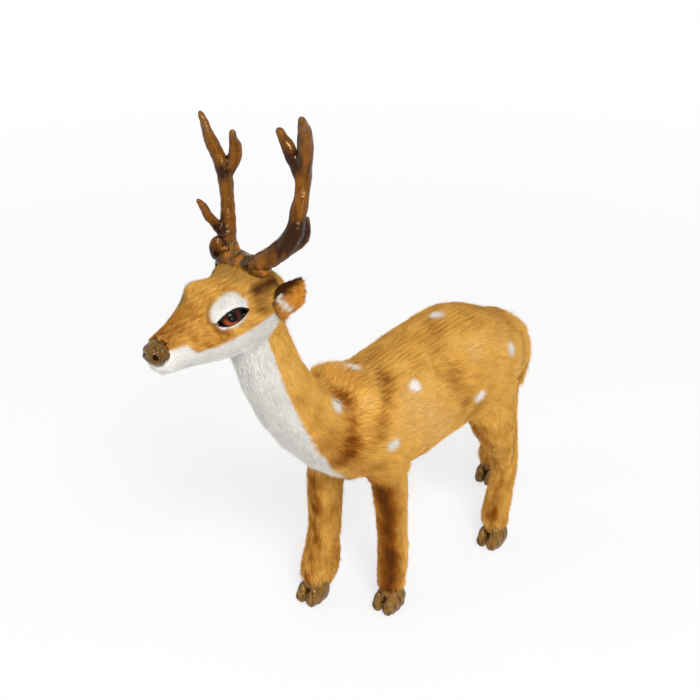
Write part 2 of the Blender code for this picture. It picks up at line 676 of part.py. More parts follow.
def build_legs():
    rooms = (torso_form("torso_leg_room", FIT), neck_form("neck_leg_room", FIT))
    for leg in LEGS:
        rows = leg_rows(leg)
        sleeve = loft("sleeve_" + leg, rows, LEG_SIDES, first=Z_AXIS)
        hollow = loft("sleeve_hollow_" + leg, rows, LEG_SIDES, grow=-LEG_PELT, reach=LEG_PELT, first=Z_AXIS)
        keep(combine(sleeve, (hollow, *rooms)), "leg_pelt_" + leg, TAN_FUR)
        core = loft("core_" + leg, rows, LEG_SIDES, grow=-LEG_PELT - LEG_FIT, first=Z_AXIS)
        wire_room = leg_wire_form("leg_wire_room_" + leg, leg, FIT)
        keep(combine(core, (*rooms, wire_room)), "leg_core_" + leg, CORE_FOAM)
        keep(leg_wire_form("wire_" + leg, leg), "leg_wire_" + leg, STEEL)
        build_hoof(leg, wire_room)


def build_hoof(leg, wire_room):
    """A flat-soled hoof, cleft from the toe, on the end of the leg's wire."""
    x, y = LEGS[leg][0]
    sole_middle = y + (HEEL_REACH - TOE_REACH) / 2
    sole_length = TOE_REACH + HEEL_REACH
    rows = []
    for share in (0.0, 0.5, 1.0):
        middle = sole_middle + (y - sole_middle) * share
        half_width = (SOLE_WIDTH + (HOOF_TOP_WIDTH - SOLE_WIDTH) * share) / 2
        half_depth = (sole_length + (HOOF_TOP_DEPTH - sole_length) * share) / 2
        rows.append((x, middle, HOOF_HEIGHT * share, half_width, half_depth))
    hoof = loft("hoof_form_" + leg, rows, 2 * LEG_SIDES, normal=Z_AXIS)
    front = y - TOE_REACH - FIT
    back = y - TOE_REACH + CLEFT_DEPTH
    mouth = CLEFT_WIDTH / 2
    end = CLEFT_END / 2
    outline = ((-mouth, front), (mouth, front), (end, back), (-end, back))
    axis = Vector((x, 0.0, 0.0))
    cleft = prism("cleft_" + leg, outline, axis, X_AXIS, Y_AXIS, Z_AXIS, -BORE_FLOOR, CLEFT_HEIGHT)
    keep(combine(hoof, (cleft, wire_room)), "hoof_" + leg, HOOF_PLASTIC)


def build_tail():
    end = SHOULDER_Y + BARREL_LENGTH + RUMP_DOME
    rows = [(x, end + y, BACK_HEIGHT + z, wide, deep) for x, y, z, wide, deep in TAIL_RINGS]
    tail = loft("tail", smooth(rows, RING_STEPS), LEG_SIDES, domes=(TAIL_DOME, TAIL_DOME))
    keep(combine(tail, [torso_form("tail_room", FIT)]), "tail_pelt", TAN_FUR)


def place_on_origin():
    """Hang the pieces on an empty, so that the middle of the part's box stands over the origin."""
    corners = [piece.location + vertex.co for piece in PIECES for vertex in piece.data.vertices]
    root = bpy.data.objects.new("stag", None)
    bpy.context.scene.collection.objects.link(root)
    for axis in (0, 1):
        values = [corner[axis] for corner in corners]
        root.location[axis] = -(min(values) + max(values)) / 2
    for piece in PIECES:
        piece.parent = root


def main():
    for thing in list(bpy.data.objects):
        bpy.data.objects.remove(thing)
    build_torso()
    build_neck()
    build_head()
    build_nose()
    build_antlers()
    build_ears()
    build_legs()
    build_tail()
    for thing in list(bpy.data.objects):
        if thing not in PIECES:
            bpy.data.objects.remove(thing)
    place_on_origin()


main()
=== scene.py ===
"""A small standing stag: spotted fur over rigid cores, resin antlers, moulded hooves and domed eyes."""

import math

import bmesh
import bpy
import numpy as np
from bpy.props import FloatProperty, FloatVectorProperty, PointerProperty
from mathutils import Matrix, Vector
from mathutils.bvhtree import BVHTree
from mathutils.kdtree import KDTree


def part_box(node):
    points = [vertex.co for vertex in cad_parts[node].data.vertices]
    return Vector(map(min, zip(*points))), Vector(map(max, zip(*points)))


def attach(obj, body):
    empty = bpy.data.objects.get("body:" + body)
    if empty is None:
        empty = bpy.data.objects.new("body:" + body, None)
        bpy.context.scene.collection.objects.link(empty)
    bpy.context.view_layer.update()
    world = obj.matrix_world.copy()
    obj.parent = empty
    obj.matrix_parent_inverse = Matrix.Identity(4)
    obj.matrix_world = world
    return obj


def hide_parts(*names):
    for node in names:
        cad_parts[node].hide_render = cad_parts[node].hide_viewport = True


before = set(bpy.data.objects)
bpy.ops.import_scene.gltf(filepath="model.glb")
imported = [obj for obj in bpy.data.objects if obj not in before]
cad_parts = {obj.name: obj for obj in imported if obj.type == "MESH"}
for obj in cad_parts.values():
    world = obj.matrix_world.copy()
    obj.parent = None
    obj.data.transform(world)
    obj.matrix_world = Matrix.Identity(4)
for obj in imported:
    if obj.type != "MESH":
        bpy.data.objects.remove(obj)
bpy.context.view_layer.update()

bl_info = {
    "name": "Fur stag figurine",
    "version": (1, 0, 0),
    "blender": (4, 5, 0),
    "location": "View3D > Sidebar > Stag",
    "description": "Builds a standing stag with a spotted fur coat, resin antlers and moulded hooves",
    "category": "Object",
}

# Lengths are in millimetres, and become metres when a mesh is made.
MM = 0.001
# First seeds of the random draws for each group of pieces. Each smooth noise has a seed of its own besides.
COAT_SEED = 41
TAIL_SEED = 71
EAR_SEED = 81
ANTLER_SEED = 60
HOOF_SEED = 90
NOSE_SEED = 110
SIDES = ("left", "right")
LEGS = ("front_left", "front_right", "hind_left", "hind_right")
# Places on the animal are taken from its own zero: across from its middle plane, along from a point this far
# before the end of the rump, and up from the ground.
RUMP_END = 82.0
TORSO_LOW, TORSO_HIGH = (np.array(corner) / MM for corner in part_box("torso_pelt"))
ZERO = np.array(((TORSO_LOW[0] + TORSO_HIGH[0]) / 2, TORSO_HIGH[1] - RUMP_END, 0.0))
MIDDLE = ZERO[0]


def linear(code):
    """Linear colour of an sRGB hex value."""
    values = [int(code[i:i + 2], 16) / 255 for i in (1, 3, 5)]
    return tuple(v / 12.92 if v <= 0.04045 else ((v + 0.055) / 1.055) ** 2.4 for v in values)


def colour_property(name, description, code):
    """A colour setting with an sRGB hex value as its default."""
    return FloatVectorProperty(name=name, description=description, subtype="COLOR", size=3, min=0.0, max=1.0,
                               default=linear(code))


def length_property(name, description, millimetres):
    """A length setting with a default in millimetres."""
    return FloatProperty(name=name, description=description, subtype="DISTANCE", unit="LENGTH",
                         default=millimetres * MM)


class StagCoat(bpy.types.PropertyGroup):
    """Sizes and colours of the fur."""

    tan: colour_property("Tan", "Fur of the body, neck, head and legs", "#E9B053")
    # Pale tan is painted light on the flanks' bulges, and the coat's own paler tone
    tan_pale: colour_property("Pale tan", "Fur on the flanks, where it has faded", "#F0C583")
    # Dark tan is the coat's own along the back, and painted shade in the folds, patches and leg bands
    tan_dark: colour_property("Dark tan", "Fur in folds and along the back", "#9C5A14")
    # Brown is the ears' own edges, and painted shadow before the ears, at the eye patches' front and deep in
    # leg bands
    brown: colour_property("Brown", "Fur before the ears and at their edges", "#4A2408")
    white: colour_property("White", "Fur of the throat, muzzle, eye patches and spots", "#EEECE5")
    body_pile: length_property("Body pile", "Length of the hair on the body and neck", 7.0)
    leg_pile: length_property("Leg pile", "Length of the hair on the legs", 5.0)
    head_pile: length_property("Head pile", "Length of the hair on the head", 3.4)
    hair_width: length_property("Hair width", "Width of a hair at its widest", 0.255)
    density: FloatProperty(name="Density", description="Hairs on a square millimetre", default=3.4, min=0.1)
    spot_radius: length_property("Spot radius", "Radius of a white spot", 4.0)


class StagTrim(bpy.types.PropertyGroup):
    """Colours of the hard pieces."""

    antler: colour_property("Antler", "Varnished resin of the antlers", "#70420E")
    # Dark stain, and painted shade in the antlers' hollows and forks and on their sides away from the light
    antler_stain_and_shade: colour_property("Antler stain", "Stain in the antlers' hollows and forks", "#260D03")
    antler_tip: colour_property("Antler tip", "Worn grey towards the antlers' tips", "#6E5A40")
    antler_amber: colour_property("Antler amber", "Thin varnish on the saddle between the antlers", "#A8661A")
    hoof: colour_property("Hoof", "Moulded hooves and nose", "#7E5A28")
    # Stain, and painted shade in the hooves' clefts and the nose's hollows and nostrils
    hoof_stain_and_shade: colour_property("Hoof stain", "Stain in the clefts and nostrils", "#261003")
    iris: colour_property("Iris", "Painted iris of the eyes", "#93401A")
    lid: colour_property("Lid", "Eyelids and pupils", "#0B0908")


class StagStage(bpy.types.PropertyGroup):
    """Camera, light and floor."""

    focal_length: FloatProperty(name="Focal length", description="Camera's focal length", unit="CAMERA",
                                default=77.14)
    key_power: FloatProperty(name="Key light", description="Power of the soft key light", unit="POWER",
                             default=47.0)
    fill_power: FloatProperty(name="Fill light", description="Power of the soft fill light", unit="POWER",
                              default=6.0)
    glint_power: FloatProperty(name="Glint light", description="Power of the small lamp that varnish mirrors",
                               unit="POWER", default=9.0)
    sky: FloatProperty(name="Sky", description="Strength of the even light from all round",
                       default=0.52, min=0.0)
    floor: colour_property("Floor", "Plain pale floor", "#F8F8F7")
    floor_white: FloatProperty(name="Floor white", description="Share of plain white seen in the floor",
                               subtype="FACTOR", default=0.7, min=0.0, max=1.0)
    floor_radius: FloatProperty(name="Floor radius", description="Radius of the floor", unit="LENGTH",
                                default=4.0)


# Materials


def add_node(tree, kind, inputs=None, **settings):
    """Add a node, set its settings and link or set its inputs."""
    node = tree.nodes.new(kind)
    for key, value in settings.items():
        setattr(node, key, value)
    for name, value in (inputs or {}).items():
        if isinstance(value, bpy.types.NodeSocket):
            tree.links.new(value, node.inputs[name])
        else:
            node.inputs[name].default_value = value
    return node


def new_material(name, values):
    """A material with its tree, and with plain values set on its shader."""
    material = bpy.data.materials.new(name)
    material.use_nodes = True
    tree = material.node_tree
    shader = tree.nodes["Principled BSDF"]
    for key, value in values.items():
        shader.inputs[key].default_value = value
    return material, tree, shader


def per_mm(size):
    """Scale of a texture, in coordinates of metres, whose pattern repeats after a size in millimetres."""
    return 1.0 / (size * MM)


def shade_grains(tree, colour, size, detail, levels):
    """Give the shader a colour with grains of a size in millimetres in it, and return where they lie."""
    place = add_node(tree, "ShaderNodeTexCoord").outputs["Object"]
    grain = add_node(tree, "ShaderNodeTexNoise", {"Vector": place, "Scale": per_mm(size), "Detail": detail})
    shade = add_node(tree, "ShaderNodeMapRange", {"Value": grain.outputs["Fac"], **levels})
    scaled = add_node(tree, "ShaderNodeVectorMath", {0: colour, "Scale": shade.outputs["Result"]},
                      operation="SCALE")
    tree.links.new(scaled.outputs["Vector"], tree.nodes["Principled BSDF"].inputs["Base Color"])
    return place


def mottled(name, values, size, shades, pits=None):
    """A material in the piece's own colouring, with grains of a size, and pits of a size and depth, in mm."""
    material, tree, shader = new_material(name, values)
    colouring = add_node(tree, "ShaderNodeAttribute", attribute_name="colouring").outputs["Color"]
    levels = {"From Min": 0.3, "From Max": 0.7, "To Min": shades[0], "To Max": shades[1]}
    place = shade_grains(tree, colouring, size, 3.0, levels)
    if pits:
        pit_size, depth = pits
        height = add_node(tree, "ShaderNodeTexNoise",
                          {"Vector": place, "Scale": per_mm(pit_size), "Detail": 2.0})
        relief = add_node(tree, "ShaderNodeBump", {"Height": height.outputs["Fac"], "Distance": depth * MM})
        tree.links.new(relief.outputs["Normal"], shader.inputs["Normal"])
    return material


def fur_material(name):
    """Dyed fur: fine hairs, dark at the root and paler at the tip, with a dull silky shine."""
    # Real hairs, about 0.05 mm wide, are too fine to show. The mesh hairs are drawn about five times as wide,
    # and the mottling is that of the dye, which varies over a tuft or two.
    values = {"Roughness": 0.6, "Specular IOR Level": 0.05, "Sheen Weight": 0.01}
    return mottled(name, values, size=11.0, shades=(0.93, 1.06))


def backing_material(name):
    """Undercoat at the root of the fur: dull, dense and unevenly dark."""
    # Its down is drawn as coarse as the hairs stand apart, because it is too fine to show.
    values = {"Roughness": 0.85, "Specular IOR Level": 0.15}
    return mottled(name, values, size=0.9, shades=(0.72, 1.1))


# Amber of the varnish, in what it mirrors
VARNISH_TINT = (1.0, 0.7, 0.42, 1.0)


def resin_material():
    """Cast resin under brown varnish: pitted, streaky and wet looking, with sharp small highlights."""
    values = {"Roughness": 0.12, "Specular IOR Level": 0.3, "Specular Tint": VARNISH_TINT}
    return mottled("Varnished resin", values, size=3.0, shades=(0.7, 1.2), pits=(2.2, 0.26))


def hoof_material(name):
    """Moulded horn-brown plastic: glossy, lumpy and blotched, with stained streaks and painted shade in its
    colouring.
    """
    values = {"Roughness": 0.14, "Specular IOR Level": 0.42, "Specular Tint": VARNISH_TINT}
    return mottled(name, values, size=2.6, shades=(0.62, 1.25), pits=(1.9, 0.13))


def lid_material():
    """Black plastic eyelids: smooth, with a soft shine."""
    values = {"Roughness": 0.45, "Specular IOR Level": 0.2}
    return mottled("Black eyelid plastic", values, size=1.5, shades=(0.8, 1.2))


def lens_material():
    """Painted acrylic dome: deep colour under a clear, mirror-bright coat."""
    values = {"Roughness": 0.1, "Specular IOR Level": 0.08, "Coat Weight": 0.05, "Coat Roughness": 0.03}
    return mottled("Painted acrylic eye", values, size=0.7, shades=(0.85, 1.15))


def inner_material(name, values, code, size, shades):
    """A plain inner material: one base colour with grains of a size in millimetres."""
    material, tree, _ = new_material(name, values)
    shade_grains(tree, linear(code), size, 4.0, {"To Min": shades[0], "To Max": shades[1]})
    return material


# Numbers on points


def ramp(values, low, high):
    """Smooth step from 0 at low to 1 at high."""
    t = np.clip((values - low) / (high - low), 0.0, 1.0)
    return t * t * (3.0 - 2.0 * t)


def unit(vectors):
    """Vectors brought to a length of 1."""
    return vectors / np.maximum(np.linalg.norm(vectors, axis=-1, keepdims=True), 1e-9)


def dot(a, b):
    """Product of vectors with vectors, row by row."""
    return np.sum(a * b, axis=-1)


def mix(a, b, share):
    """Blend of two colours, or lists of them, by a share for each point."""
    return a + (np.asarray(b) - a) * share[:, None]


def bell(distance, width):
    """Bell curve: 1 at no distance, and falling to 0 past a width."""
    return np.exp(-(distance / width) ** 2)


def distance_from(place, points):
    """Distance of points from a place."""
    return np.linalg.norm(points - place, axis=1)


# Waves in a smooth noise, and what brings their sum to between about -1 and 1
WAVES = 7
WAVE_SUM = 2.6


def wander(points, size, seed):
    """Smooth noise between about -1 and 1 that changes over a size in millimetres."""
    rng = np.random.default_rng(seed)
    total = np.zeros(len(points))
    for _ in range(WAVES):
        axis = unit(rng.normal(size=3)) * math.tau / (size * rng.uniform(0.7, 1.5))
        total += np.sin(points @ axis + rng.uniform(0, math.tau))
    return total / WAVE_SUM


def line_distance(points, line):
    """Distance of points from a chain of straight pieces."""
    nearest = np.full(len(points), np.inf)
    for start, end in zip(line[:-1], line[1:]):
        start, along = np.array(start, float), np.subtract(end, start).astype(float)
        share = np.clip((points - start) @ along / (along @ along), 0.0, 1.0)
        nearest = np.minimum(nearest, np.linalg.norm(points - start - share[:, None] * along, axis=1))
    return nearest


def depth_inside(points, outline):
    """Distance of flat points from an outline, positive inside it."""
    inside = np.zeros(len(points), bool)
    ring = list(outline) + [outline[0]]
    for (x0, y0), (x1, y1) in zip(ring[:-1], ring[1:]):
        if y0 != y1:
            crosses = (points[:, 1] > y0) != (points[:, 1] > y1)
            inside ^= crosses & (points[:, 0] < x0 + (points[:, 1] - y0) * (x1 - x0) / (y1 - y0))
    return np.where(inside, 1.0, -1.0) * line_distance(points, ring)


def mirrored(points):
    """Points from the animal's zero, with both flanks laid on the left one."""
    folded = points - ZERO
    folded[:, 0] = np.abs(folded[:, 0])
    return folded


# Meshes


def read_mesh(mesh):
    """Corners and triangles of a mesh."""
    corners = np.empty(len(mesh.vertices) * 3)
    mesh.vertices.foreach_get("co", corners)
    mesh.calc_loop_triangles()
    faces = np.empty(len(mesh.loop_triangles) * 3, np.int32)
    mesh.loop_triangles.foreach_get("vertices", faces)
    return corners.reshape(-1, 3) / MM, faces.reshape(-1, 3)


def node_mesh(name):
    """Corners and triangles of a CAD piece."""
    return read_mesh(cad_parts[name].data)


# Fineness of the balls that swellings start from
BALL_FINENESS = 4


def skin_over(names, voxel, swellings=()):
    """Corners and triangles of one closed skin over CAD pieces and egg-shaped swellings."""
    form = bmesh.new()
    for name in names:
        form.from_mesh(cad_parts[name].data)
    for middle, radii in swellings:
        place = Matrix.Translation(Vector(middle) * MM) @ Matrix.Diagonal((*(r * MM for r in radii), 1.0))
        bmesh.ops.create_icosphere(form, subdivisions=BALL_FINENESS, radius=1.0, matrix=place)
    mesh = bpy.data.meshes.new("form")
    form.to_mesh(mesh)
    form.free()
    holder = bpy.data.objects.new("form", mesh)
    bpy.context.scene.collection.objects.link(holder)
    remesh = holder.modifiers.new("skin", "REMESH")
    remesh.mode = "VOXEL"
    remesh.voxel_size = voxel * MM
    skin = holder.evaluated_get(bpy.context.evaluated_depsgraph_get()).to_mesh()
    corners, faces = read_mesh(skin)
    bpy.data.objects.remove(holder)
    bpy.data.meshes.remove(mesh)
    return largest(corners, faces)


def largest(corners, faces):
    """The biggest connected shell of a mesh."""
    label = np.arange(len(corners))
    while True:
        low = label[faces].min(axis=1)
        new = label.copy()
        for k in range(3):
            np.minimum.at(new, faces[:, k], low)
        new = new[new]
        if np.array_equal(new, label):
            break
        label = new
    main = np.bincount(label).argmax()
    keep = label == main
    index = np.cumsum(keep) - 1
    return corners[keep], index[faces[keep[faces[:, 0]]]]


def edges_of(faces):
    """Each edge of some triangles, once."""
    pairs = np.sort(np.concatenate((faces[:, :2], faces[:, 1:], faces[:, ::2])), axis=1)
    return np.unique(pairs, axis=0)


def relaxed(corners, faces, passes):
    """Corners drawn towards the middle of their neighbours."""
    edges = edges_of(faces)
    ends = np.concatenate((edges[:, 0], edges[:, 1]))
    others = np.concatenate((edges[:, 1], edges[:, 0]))
    count = np.bincount(ends, minlength=len(corners))[:, None]
    for _ in range(passes):
        total = np.stack([np.bincount(ends, corners[others, k], len(corners)) for k in range(3)], axis=1)
        corners = 0.5 * (corners + total / count)
    return corners


def normals_of(corners, faces):
    """Normals at the corners of a mesh, weighted by the size of the triangles round them."""
    a, b, c = (corners[faces[:, k]] for k in range(3))
    across = np.cross(b - a, c - a)
    total = np.stack([sum(np.bincount(faces[:, k], across[:, j], len(corners)) for k in range(3))
                      for j in range(3)], axis=1)
    return unit(total)


def make_piece(name, corners, faces, colours, material, nodes=(), uv=None, normals=None):
    """An object from triangles and corner colours, which stands for CAD pieces and rides with the body."""
    mesh = bpy.data.meshes.new(name)
    mesh.vertices.add(len(corners))
    mesh.vertices.foreach_set("co", (corners * MM).ravel())
    mesh.loops.add(faces.size)
    mesh.loops.foreach_set("vertex_index", faces.astype(np.int32).ravel())
    mesh.polygons.add(len(faces))
    mesh.polygons.foreach_set("loop_start", np.arange(0, faces.size, 3, dtype=np.int32))
    mesh.update(calc_edges=True)
    mesh.shade_smooth()
    colouring = mesh.color_attributes.new("colouring", "FLOAT_COLOR", "POINT")
    values = np.concatenate((np.clip(colours, 0.0, 1.0), np.ones((len(corners), 1))), axis=1)
    colouring.data.foreach_set("color", values.ravel())
    if uv is not None:
        layer = mesh.uv_layers.new(name="OFBake")
        layer.data.foreach_set("uv", uv[faces.ravel()].ravel())
    if normals is not None:
        mesh.normals_split_custom_set_from_vertices(normals.tolist())
    mesh.materials.append(material)
    piece = bpy.data.objects.new(name, mesh)
    bpy.context.scene.collection.objects.link(piece)
    if nodes:
        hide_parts(*nodes)
    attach(piece, "root")
    return piece


def thick_panel(corners, faces, normals, depth):
    """A closed sheet under some of a skin's triangles, and the skin's corner that each of its own lies at."""
    used, faces = np.unique(faces, return_inverse=True)
    faces = faces.reshape(-1, 3)
    count = len(used)
    outer = corners[used]
    inner = outer - normals[used] * depth
    pairs = np.concatenate((faces[:, :2], faces[:, 1:], faces[:, ::2][:, ::-1]))
    _, first, times = np.unique(np.sort(pairs, axis=1), axis=0, return_index=True, return_counts=True)
    rim = pairs[first[times == 1]]
    walls = np.concatenate((np.stack((rim[:, 1], rim[:, 0], rim[:, 0] + count), axis=1),
                            np.stack((rim[:, 1], rim[:, 0] + count, rim[:, 1] + count), axis=1)))
    whole = np.concatenate((faces, faces[:, ::-1] + count, walls))
    return np.concatenate((outer, inner)), whole, np.concatenate((used, used))


# Eyes' places


def eye_axes(side):
    """Middle of an eye with its directions forwards, up and out, read from its iris disc and its lids."""
    iris, _ = node_mesh("eye_iris_" + side)
    lids, _ = node_mesh("eye_rim_" + side)
    middle = iris.mean(axis=0)
    out = np.linalg.svd(iris - middle)[2][2]
    out *= np.sign(out[0] * (middle[0] - MIDDLE))
    flat = lids - lids.mean(axis=0)
    forward = np.linalg.svd(flat - np.outer(flat @ out, out))[2][0]
    forward *= -np.sign(forward[1])
    up = np.cross(out, forward)
    up *= np.sign(up[2])
    return middle, forward, up, out


# Almond of the lids, whose upper bow lies further back than its lower one: its size, that skew, its turn in
# degrees out of the eye's own axes, and how far behind the iris it still counts
LID_LENGTH = 20.2
LID_HEIGHT = 6.9
LID_SKEW = 0.45
LID_TILT = 6.0
LID_BEHIND = 6.0


def lid_axes(side):
    """Axes of the eyelids, which lie flatter than the eye's own."""
    middle, forward, up, out = eye_axes(side)
    turn = math.radians(LID_TILT)
    along = math.cos(turn) * forward + math.sin(turn) * up
    across = math.cos(turn) * up - math.sin(turn) * forward
    return middle, along, across, out


def almond_depth(points, side, grow=0.0):
    """How far points lie inside an eye's almond, as a share: 1 in the middle and 0 on its edge."""
    middle, forward, up, out = lid_axes(side)
    offset = points - middle
    along = (offset @ forward + LID_SKEW * (offset @ up)) / (LID_LENGTH / 2 + grow)
    across = (offset @ up) / (LID_HEIGHT / 2 + grow)
    share = 1.0 - along ** 2 - np.abs(across)
    near = (offset @ out > -LID_BEHIND) & (np.linalg.norm(offset, axis=1) < LID_LENGTH)
    return np.where(near, share, -1.0)


# The coat's pattern

# Edge of the white fur in side view: along the muzzle and cheek, then down the neck to the chest
WHITE_FRONT = ((-225, 227), (-208, 222), (-200.5, 223), (-196, 223), (-193.5, 218.5), (-186, 217.5),
               (-170, 220), (-147, 224), (-142, 220), (-147, 207.5), (-139, 183), (-134.5, 170),
               (-125.5, 152), (-114, 131.5), (-98, 110.5), (-86, 100), (-90, 70), (-225, 70))
# White spots: seven on the left flank and back, then six on the right
SPOTS = ((14, -98.5, 151.5), (23, -43, 143.5), (29.5, -69, 120.5), (-1, 7, 159), (2, -70, 158),
         (25.5, 42.5, 133), (30, 9, 117.5), (-15, -95, 152), (-22.5, -48, 143), (-29.5, -64, 121),
         (-26.5, 35, 134), (-30, 3, 119), (-23, -16, 145))
# Each fold: its line on the left flank, its half width, its depth and how dark its painted shade is
FOLDS = ((((13, -89, 152), (16.5, -90, 147), (19, -92, 136), (20.5, -92, 130), (20, -93, 123),
           (17.5, -95.5, 117.5)), 5.6, 0.7, 0.82),
         (((14.5, -58, 152), (21, -64.5, 147.5), (26, -73.5, 142.5), (28, -78.5, 137.5),
           (29, -80.5, 128.5)), 6.0, 0.9, 0.55),
         (((25, -12.5, 143), (28.5, -10.5, 135.5), (29.5, -7.5, 128), (30, -3.5, 119)), 7.0, 0.9, 0.4))
# Patches of the coat: place on the left flank, radius, and how dark they are, or how pale where negative
# On the body the dark ones are painted shade and the pale ones painted light; the face's are darker patches
CLOUDS = (((15.5, -125, 172), 16, 0.15), ((17, -116, 146), 9, 0.3), ((17, -111, 134.5), 8, 0.35),
          ((15.5, -101.5, 121), 8, 0.4), ((19, -101, 131), 9, 0.4), ((20.5, -92.5, 126), 7, 0.45),
          ((18.5, -83, 107), 11, 0.4), ((29.5, 8.5, 110), 9, 0.4), ((27.5, -48.5, 135.5), 13, -0.4),
          ((29.5, -30, 116), 13, -0.4), ((22, 8.5, 147), 12, -0.35), ((20.5, -82, 148), 6, -0.4),
          ((15, -178.5, 222.5), 5, 0.8), ((13.5, -188, 225), 9, 0.25), ((2, -192, 234), 8, 0.35),
          ((4, -204, 228), 6, 0.5))
# White round an eye: how far its middle lies forward and up from the eye's, then half its length and height
EYE_PATCH = (-0.2, 3.3, 10.0, 8.0)
# Painted shadow, in brown, on the fur before the ear: line, half width and strength
EAR_SHADOWS = ((((15, -155.5, 238), (16, -150.5, 239), (15.5, -147.5, 239), (14.5, -143.5, 238)), 4.4, 1.0),
               (((16.5, -155.5, 233), (17, -153.5, 229.5)), 4.2, 0.6))
# Fur round the antlers' foot, which is painted browner: its middle, then half its width, length and height
CROWN = (0.0, -149.0, 244.0)
CROWN_REACH = (19.0, 12.0, 8.0)
# Where the coat changes: the back lies over this height, the white front before this place along the body,
# and the hind legs behind this one
BACK_FROM = 130.0
CHEST_END = -80.0
HIND_FROM = -10.0
# Stretches along the head and down the body over which its shading sets in: head, muzzle and legs
HEAD_RUN = (140.0, 158.0)
MUZZLE_RUN = (172.0, 184.0)
LEG_RUN = (-104.0, -84.0)
# Show side of the figure: the way across it and the way out of it
ACROSS = (0.77, 0.64, 0.0)
FACING = (0.64, -0.77, 0.0)
# Run of the hair beside the edge of the white throat, and round the antlers' foot
THROAT_RUN = (0.0, 0.49, -0.87)
CROWN_RUN = (0.0, 0.3, 1.0)


def leg_tone_and_shade(points, normals):
    """How dark each leg's fur is: bands of painted shade and light down its show side, and a plain tone
    behind.
    """
    x, y, _ = (points - ZERO).T
    place = normals @ ACROSS
    strands = wander(points * (1.0, 1.0, 0.2), 2.2, 9)
    front_left = 1.6 * bell(place + 0.2, 0.62) - 0.3 * ramp(place, 0.6, 0.95)
    front_right = 0.7 * bell(place + 0.5, 0.4) * (1.0 + 0.5 * strands) + 0.25 * ramp(place, 0.1, 0.6)
    hind = 0.5 * bell(place + 0.3, 0.4) * (1.0 + 0.8 * strands)
    band = np.where(y > HIND_FROM, hind, np.where(x > 0.0, front_left, front_right))
    shown = ramp(normals @ FACING, -0.3, 0.3)
    return 0.2 + 0.12 * strands + 0.4 * (1.0 - shown) + band * shown


def crown_share(points):
    """How near points lie to the antlers' foot: 1 at it and 0 away from it."""
    return 1.0 - ramp(np.linalg.norm((points - ZERO - CROWN) / CROWN_REACH, axis=1), 0.8, 1.5)


def coat_shade(points, normals, folded):
    """How much darker than tan the fur is at points, or paler where negative; partly painted shade and light.
    """
    top = ramp(normals[:, 2], 0.5, 0.95) * (points[:, 2] > BACK_FROM)
    streaks = ramp(wander(points * (1.0, 0.1, 1.0), 2.4, 4), -0.1, 1.0)
    fine = wander(points * (1.0, 0.15, 1.0), 1.8, 7)
    head = ramp(-folded[:, 1], *HEAD_RUN)
    shade = 0.13 * wander(points, 20.0, 2) + 0.08 * fine + top * (0.1 + 0.5 * streaks) * (1.0 - head)
    shade += head * (0.14 + 0.18 * fine) + 0.14 * ramp(-folded[:, 1], *MUZZLE_RUN)
    shade += ramp(-points[:, 2], *LEG_RUN) * leg_tone_and_shade(points, normals)
    # Painted shade in the creases of the folds
    for line, width, _, strength in FOLDS:
        shade += strength * bell(line_distance(folded, line), width) * (1.0 + 0.35 * fine)
    for place, radius, strength in CLOUDS:
        shade += strength * bell(distance_from(place, folded), radius)
    return shade


def eye_ring(folded):
    """Where points lie round the eye, 1 on its white patch's edge and less inside, and how far forward."""
    middle, forward, up, out = eye_axes("left")
    offset = folded + ZERO - middle
    ahead, rise, half_length, half_height = EYE_PATCH
    ring = ((offset @ forward - ahead) / half_length) ** 2 + ((offset @ up - rise) / half_height) ** 2
    return np.where(np.abs(offset @ out) < half_length, ring, 2.0), offset @ forward


def spot_share(points, normals, radius):
    """How white the spots make the fur at points. Depth under the skin counts for little."""
    ragged = radius * (1.0 + 0.18 * wander(points, 3.0, 3))
    spotted = np.zeros(len(points))
    for spot in SPOTS:
        offset = points - ZERO - spot
        away = np.linalg.norm(offset - 0.8 * normals * dot(offset, normals)[:, None], axis=1)
        spotted = np.maximum(spotted, 1.0 - ramp(away / ragged, 0.55, 1.3))
    return spotted


def coat_pattern(points, normals, coat):
    """Base colour of the fur at points, with painted shade and light in it, and how white it is there."""
    tan, pale, dark = (np.array(colour) for colour in (coat.tan, coat.tan_pale, coat.tan_dark))
    brown, white = np.array(coat.brown), np.array(coat.white)
    folded = mirrored(points) + wander(points, 5.0, 1)[:, None] * 0.35
    shade = coat_shade(points, normals, folded)
    colour = mix(np.tile(tan, (len(points), 1)), pale, np.clip(-shade, 0.0, 1.0))
    colour = mix(mix(colour, dark, np.clip(shade, 0.0, 1.0)), brown, np.clip(shade - 1.0, 0.0, 0.8))
    # Browner round the antlers' foot, and painted shadow before the ears and along the front edge of the eye
    # patches
    brown_and_shadow = 0.4 * crown_share(points)
    for line, width, strength in EAR_SHADOWS:
        brown_and_shadow = np.maximum(brown_and_shadow, strength * bell(line_distance(folded, line), width))
    ring, forward = eye_ring(folded)
    brim_shadow = bell(np.sqrt(ring) - 1.14, 0.1) * ramp(forward, 2.0, 8.0)
    colour = mix(colour, brown, np.maximum(brown_and_shadow, 0.55 * brim_shadow))
    front = ramp(depth_inside(folded[:, 1:], WHITE_FRONT), -0.8, 0.8) * (folded[:, 1] < CHEST_END)
    spotted = spot_share(points, normals, coat.spot_radius / MM)
    whiteness = np.maximum(np.maximum(front, 1.0 - ramp(ring, 0.8, 1.15)), spotted)
    # Painted shade greying the white fur in soft clouds, less on the spots
    cloudy = ramp(wander(points * (1.0, 1.0, 0.25), 6.0, 8), -0.3, 0.9)
    grey = whiteness * (0.06 + 0.07 * cloudy - 0.16 * spotted)
    return mix(colour, white, whiteness) * (1.0 - grey)[:, None], whiteness


